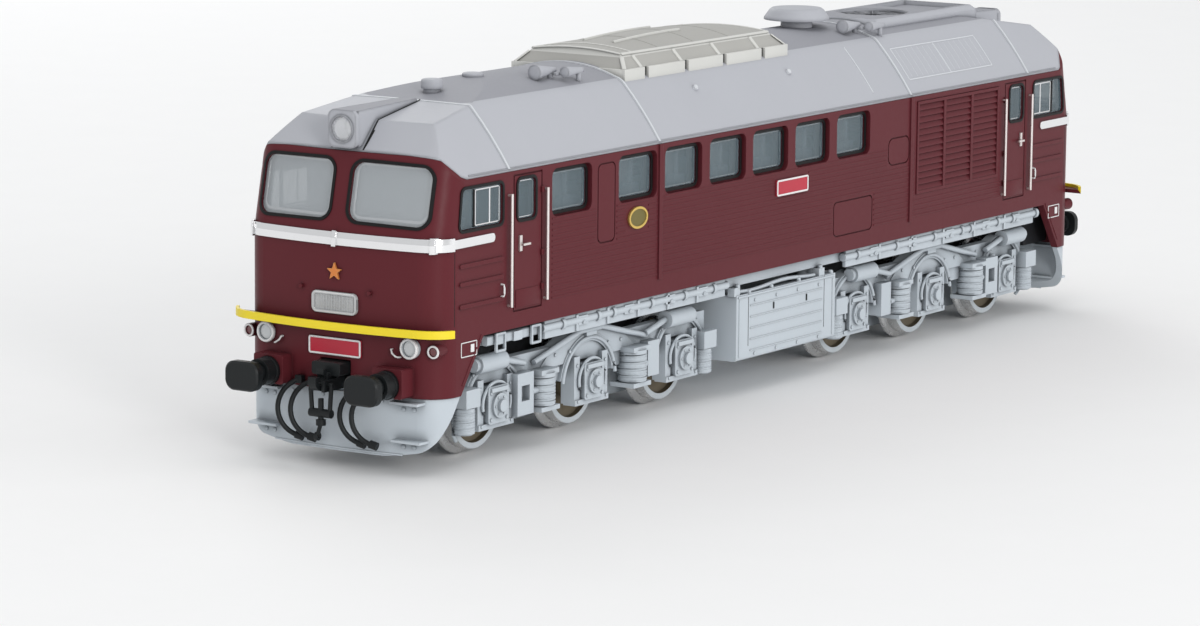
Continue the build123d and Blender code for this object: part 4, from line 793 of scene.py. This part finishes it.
def hatch_at(inset, u, v, z):
    """Place on the hatch: u along and v across run from 0 to 1 between its insets."""
    x = HATCH_X0 + inset + u * (HATCH_X1 - HATCH_X0 - 2 * inset)
    y = (2 * v - 1) * (HATCH_Y - inset)
    return at(x, y, z)


def on_crown(u, v):
    """Place on the crowned top of the hatch."""
    return hatch_at(TOP_IN, u, v, TOP_Z + (0.55 + 0.95 * math.sin(math.pi * u)) * (1 - (2 * v - 1) ** 2))


def edge_line(columns, rows):
    """Grid places round the rim of a columns by rows grid, in order."""
    ring = [(i, 0) for i in range(columns)] + [(columns, j) for j in range(rows)]
    return ring + [(i, rows) for i in range(columns, 0, -1)] + [(0, j) for j in range(rows, 0, -1)]


COLUMNS, ROWS = 26, 14
bm = bmesh.new()
top = {(i, j): bm.verts.new(on_crown(i / COLUMNS, j / ROWS))
       for i in range(COLUMNS + 1) for j in range(ROWS + 1)}
# The crowned top and the sloping screens take the darker hatch grey: painted shade.
for i in range(COLUMNS):
    for j in range(ROWS):
        bm.faces.new((top[i, j], top[i + 1, j], top[i + 1, j + 1], top[i, j + 1])).material_index = 1
rim = edge_line(COLUMNS, ROWS)
loops = [[top[place] for place in rim]]
for inset, z in ((SCREEN_IN, 51.4), (0.5, 49.85), (0.5, 47.6)):
    loops.append([bm.verts.new(hatch_at(inset, i / COLUMNS, j / ROWS, z)) for i, j in rim])
for index in range(3):
    bridge(bm, loops[index:index + 2], index)
bm.faces.new(loops[-1]).material_index = 2
hatch = publish("hatch_body", bm, [hatch_white, hatch_shade_grey, rubber], "root", angle=25)
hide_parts("roof_hatch")

bm = bmesh.new()
low, lip = 47.7, 49.9
for side in (-1, 1):
    cuts = [HATCH_X1] + [x + d for x in NOTCHES for d in (0.5, -0.5)] + [HATCH_X0]
    for x1, x0 in zip(cuts[::2], cuts[1::2]):
        add_bar(bm, (x0, side * 9.4, low), (x1, side * HATCH_Y, lip), 0.12)
    for x in NOTCHES:
        # White bar beside each notch, down the sloping screen.
        facing = Vector((0, side * 0.73, 0.68))
        bar = [(at(x + 1.0, side * 9.6, 49.8), facing), (at(x + 1.0, side * 8.05, 51.42), facing)]
        add_strip(bm, bar, 0.85, 0.22)
    for x, x_in in ((HATCH_X1 - 0.4, HATCH_X1 - SCREEN_IN), (HATCH_X0 + 0.4, HATCH_X0 + SCREEN_IN)):
        facing = Vector((math.copysign(0.5, x), side * 0.5, 0.7)).normalized()
        add_strip(bm, [(at(x, side * 9.6, 49.85), facing), (at(x_in, side * 8.1, 51.4), facing)], 0.7, 0.16)
    # White bead along the edge of the top.
    facing = Vector((0, side * 0.4, 0.9))
    add_strip(bm, [(hatch_at(2.3, u / 12, (1 + side) // 2, TOP_Z), facing) for u in range(13)], 0.55, 0.16)
    # Two short ribs along the crown.
    add_strip(bm, [(on_crown(0.86 - 0.055 * u, 0.5 + side * 0.17), UP) for u in range(9)], 0.45, 0.3)
for x in (HATCH_X0, HATCH_X1):
    add_bar(bm, (x, -9.45, low), (x + math.copysign(0.6, -x), 9.45, lip), 0.12)
for u, width in ((0.0, 0.6), (1.0, 0.6), (0.925, 0.4)):
    add_strip(bm, [(on_crown(u, v / 12), UP) for v in range(13)], width, 0.14)
publish("hatch_bars", bm, hatch_white, "root")

# Joints across the crown, drawn in the darker hatch grey of the painted shade.
bm = bmesh.new()
for u in (0.26, 0.5, 0.74):
    add_strip(bm, [(on_crown(u, v / 12), UP) for v in range(13)], 0.2, 0.06)
publish("hatch_joints", bm, hatch_shade_grey, "root")

# ------------------------------------------------------------------ tank and sill
PIPE_CLIP = ((-0.35, 0.66), (-0.35, 0.84), (0.35, 0.84), (0.35, 0.66))
for hand, side in HANDS:
    bm = bmesh.new()
    face = (0, -side, 0)
    for z in (12.7, 11.0, 9.3, 7.6, 5.9):
        lay(bm, "fuel_tank", (-10.5, side * BESIDE, z), (10.5, side * BESIDE, z), face, 0.22, 0.10, 6)
    lay(bm, "fuel_tank", (-14.0, side * BESIDE, 14.25), (14.0, side * BESIDE, 14.25), face, 0.36, 0.16, 6)
    for x in (-13.6, 13.6):
        lay(bm, "fuel_tank", (x, side * BESIDE, 13.8), (x, side * BESIDE, 5.2), face, 0.3, 0.12, 3)
    for x in (-9.4, -3.2, 3.0, 9.2):
        for z in (13.4, 5.3):
            bolt_on(bm, "fuel_tank", (x, side * BESIDE, z), face, 0.24, 0.16)
    for x in (-13.6, -10.4, -4.0, 4.0, 10.4, 13.6):
        bolt_on(bm, "fuel_tank", (x, side * 15.9, 40), DOWN, 0.4, 0.5, 10)
    add_tube(bm, [(x, side * 15.7, 15.1 + 0.25 * math.cos(x / 3)) for x in range(-9, 14, 2)], 0.3, 8)
    for x in (-5.8, 3.8):
        add_bar(bm, (x - 0.14, side * (16.2), 11.4), (x + 0.14, side * 16.42, 12.4), 0.05, 1)
    publish(f"tank_fittings_{hand}", bm, [light_grey, black], "root")

    bm = bmesh.new()
    for x in (-79, -71, -66, -57, -54, -45, -33, -21, 21, 29, 38, 48, 52, 61):
        add_ring(bm, PIPE_CLIP, (x, side * 16.0, 16.6), (1, 0, 0), 18)
    for x in (-72, -62, -50, -38, -26, 24, 33, 44, 56):
        bolt_on(bm, "underframe_equipment", (x, side * BESIDE, 16.3), (0, -side, 0), 0.3, 0.2)
    # Sill plates behind the pipes, and the open step brackets under the cab doors.
    for x0, x1 in ((17.6, 65.4), (-78.4, -17.6)):
        add_bar(bm, (x0, side * 15.6, 15.0), (x1, side * 16.25, 17.65), 0.15)
        for i in range(1, 6):
            x = x0 + (x1 - x0) * i / 6
            add_bar(bm, (x - 0.3, side * 16.1, 15.1), (x + 0.3, side * 16.5, 17.5), 0.08)
    for x in (68.2, 76.9):
        add_frame(bm, 1.2, 1.35, 0.2, 0.34, on_side(x, 16.2, side, -0.25), 0.45)
    publish(f"pipe_clips_{hand}", bm, light_grey, "root")

# ------------------------------------------------------------------ bogies
for end_name, end in ENDS:
    body = f"bogie_{end_name}"
    frame_node = f"bogie_frame_{end_name}"
    for hand, side in HANDS:
        bm = bmesh.new()

        def here(x, y, z):
            """Place on the left of the front bogie, mirrored to this end and hand."""
            return (end * (PIVOT + x), side * y, z)

        face = (0, -side, 0)
        for x in (-PITCH, 0, PITCH):
            for dx, dz in ((-1.9, -1.9), (1.9, -1.9), (-1.9, 1.9), (1.9, 1.9)):
                bolt_on(bm, frame_node, here(x + dx, BESIDE, 6.6 + dz), face, 0.26, 0.2)
            for a in range(6):
                c, s = math.cos(a * math.pi / 3), math.sin(a * math.pi / 3)
                bolt_on(bm, frame_node, here(x + 1.32 * c, BESIDE, 6.6 + 1.32 * s), face, 0.17, 0.14)
            for dx in (-3.6, 3.6):
                for z in (4.0, 9.2):
                    bolt_on(bm, frame_node, here(x + dx, BESIDE, z), face, 0.24, 0.18)
        for x in (-29.5, -19.5, -16.0, -8.5, -5.0, 5.0, 8.5, 16.0, 20.5, 29.0):
            bolt_on(bm, frame_node, here(x, BESIDE, 11.4), face, 0.28, 0.2)
        # Raised edges of the three arches, and of the axle boxes.
        for x in (-PITCH, 0, PITCH):
            for start, sweep, out, z, half_w, half_h, radius in ((8, 164, 13.15, WHEEL_Z, 6.85, 6.85, 0.3),
                                                                 (-24, 228, 13.7, 6.9, 3.4, 3.0, 0.26)):
                arc = [math.radians(start + sweep * i / 24) for i in range(25)]
                add_tube(bm, [here(x + half_w * math.cos(a), out, z + half_h * math.sin(a)) for a in arc],
                         radius, 8)
        # Fine coils of the suspension springs.
        for x, y, z0, z1, radius in ((12.9, 13.5, 5.1, 9.4, 1.95), (-10.9, 13.5, 5.1, 9.4, 1.95),
                                     (31.3, 13.2, 3.5, 7.2, 1.35), (-30.2, 13.2, 3.5, 7.2, 1.35)):
            add_coil(bm, here(x, y, z0), z1 - z0, radius)
        # Sand pipe at the outer end.
        bends = ((32.6, 12.6, 9.0), (33.4, 12.4, 6.2), (32.4, 12.2, 3.4), (31.4, 11.9, 2.4))
        add_tube(bm, [here(*p) for p in bends], 0.3, 8)
        publish(f"frame_fittings_{end_name}_{hand}", bm, light_grey, body)


# ------------------------------------------------------------------ camera, floor and light
def look_from(place, azimuth, elevation, roll, lens):
    """Camera at a place, turned by angles in degrees, with a lens in millimetres."""
    a, e, r = math.radians(azimuth), math.radians(elevation), math.radians(roll)
    back = Vector((math.sin(a) * math.cos(e), -math.cos(a) * math.cos(e), math.sin(e)))
    right = (-back).cross(Vector((0, 0, 1))).normalized()
    up = right.cross(-back)
    across = right * math.cos(r) + up * math.sin(r)
    lift = up * math.cos(r) - right * math.sin(r)
    data = bpy.data.cameras.new("camera")
    data.lens = lens
    data.sensor_width = 36.0
    data.clip_start, data.clip_end = 0.02, 20.0
    camera = bpy.data.objects.new("camera", data)
    matrix = Matrix((across, lift, back)).transposed().to_4x4()
    matrix.translation = place
    camera.matrix_world = matrix
    bpy.context.scene.collection.objects.link(camera)
    bpy.context.scene.camera = camera


look_from(place=(0.615101, 0.386618, 0.127387), azimuth=123.304, elevation=9.228, roll=0.515, lens=143.89)


def make_floor():
    """Plain pale ground under the wheels."""
    bm = bmesh.new()
    bmesh.ops.create_grid(bm, x_segments=2, y_segments=2, size=6.0)
    mesh = bpy.data.meshes.new("floor")
    bm.to_mesh(mesh)
    bm.free()
    floor = bpy.data.objects.new("floor", mesh)
    floor.location = (0, 0, cad_box[0].z - 0.02 * MM)
    mesh.materials.append(finish("floor_paint", (0.86, 0.86, 0.86), 0.75, tint=0.01, grain=300, bump=0.02,
                                 corner_shade=0.0, edge=0.0))
    bpy.context.scene.collection.objects.link(floor)


def add_light(name, place, target, size, power, colour=(1, 1, 1)):
    """Soft rectangular light at a place, facing a target."""
    data = bpy.data.lights.new(name, "AREA")
    data.shape = "RECTANGLE"
    data.size, data.size_y = size
    data.energy = power
    data.color = colour
    lamp = bpy.data.objects.new(name, data)
    lamp.location = place
    lamp.rotation_mode = "QUATERNION"
    lamp.rotation_quaternion = (Vector(target) - Vector(place)).to_track_quat("-Z", "Y")
    bpy.context.scene.collection.objects.link(lamp)


make_floor()
bpy.context.scene.view_settings.view_transform = "Standard"
world = bpy.data.worlds.new("studio")
world.use_nodes = True
world.node_tree.nodes["Background"].inputs["Color"].default_value = (0.98, 0.99, 1.0, 1.0)
world.node_tree.nodes["Background"].inputs["Strength"].default_value = 0.68
bpy.context.scene.world = world
add_light("key", (0.58, 0.86, 0.30), (0, 0, 0.025), (0.22, 0.40), 3.6, (1.0, 0.99, 0.975))
add_light("side", (-0.35, 1.0, 0.35), (-0.03, 0, 0.02), (0.5, 0.3), 1.4, (0.98, 0.99, 1.0))
add_light("back", (-0.55, -0.75, 0.55), (0, 0, 0.03), (0.5, 0.5), 2.0)
add_light("top", (0.1, 0.2, 1.3), (0, 0, 0), (1.2, 1.2), 4.0)
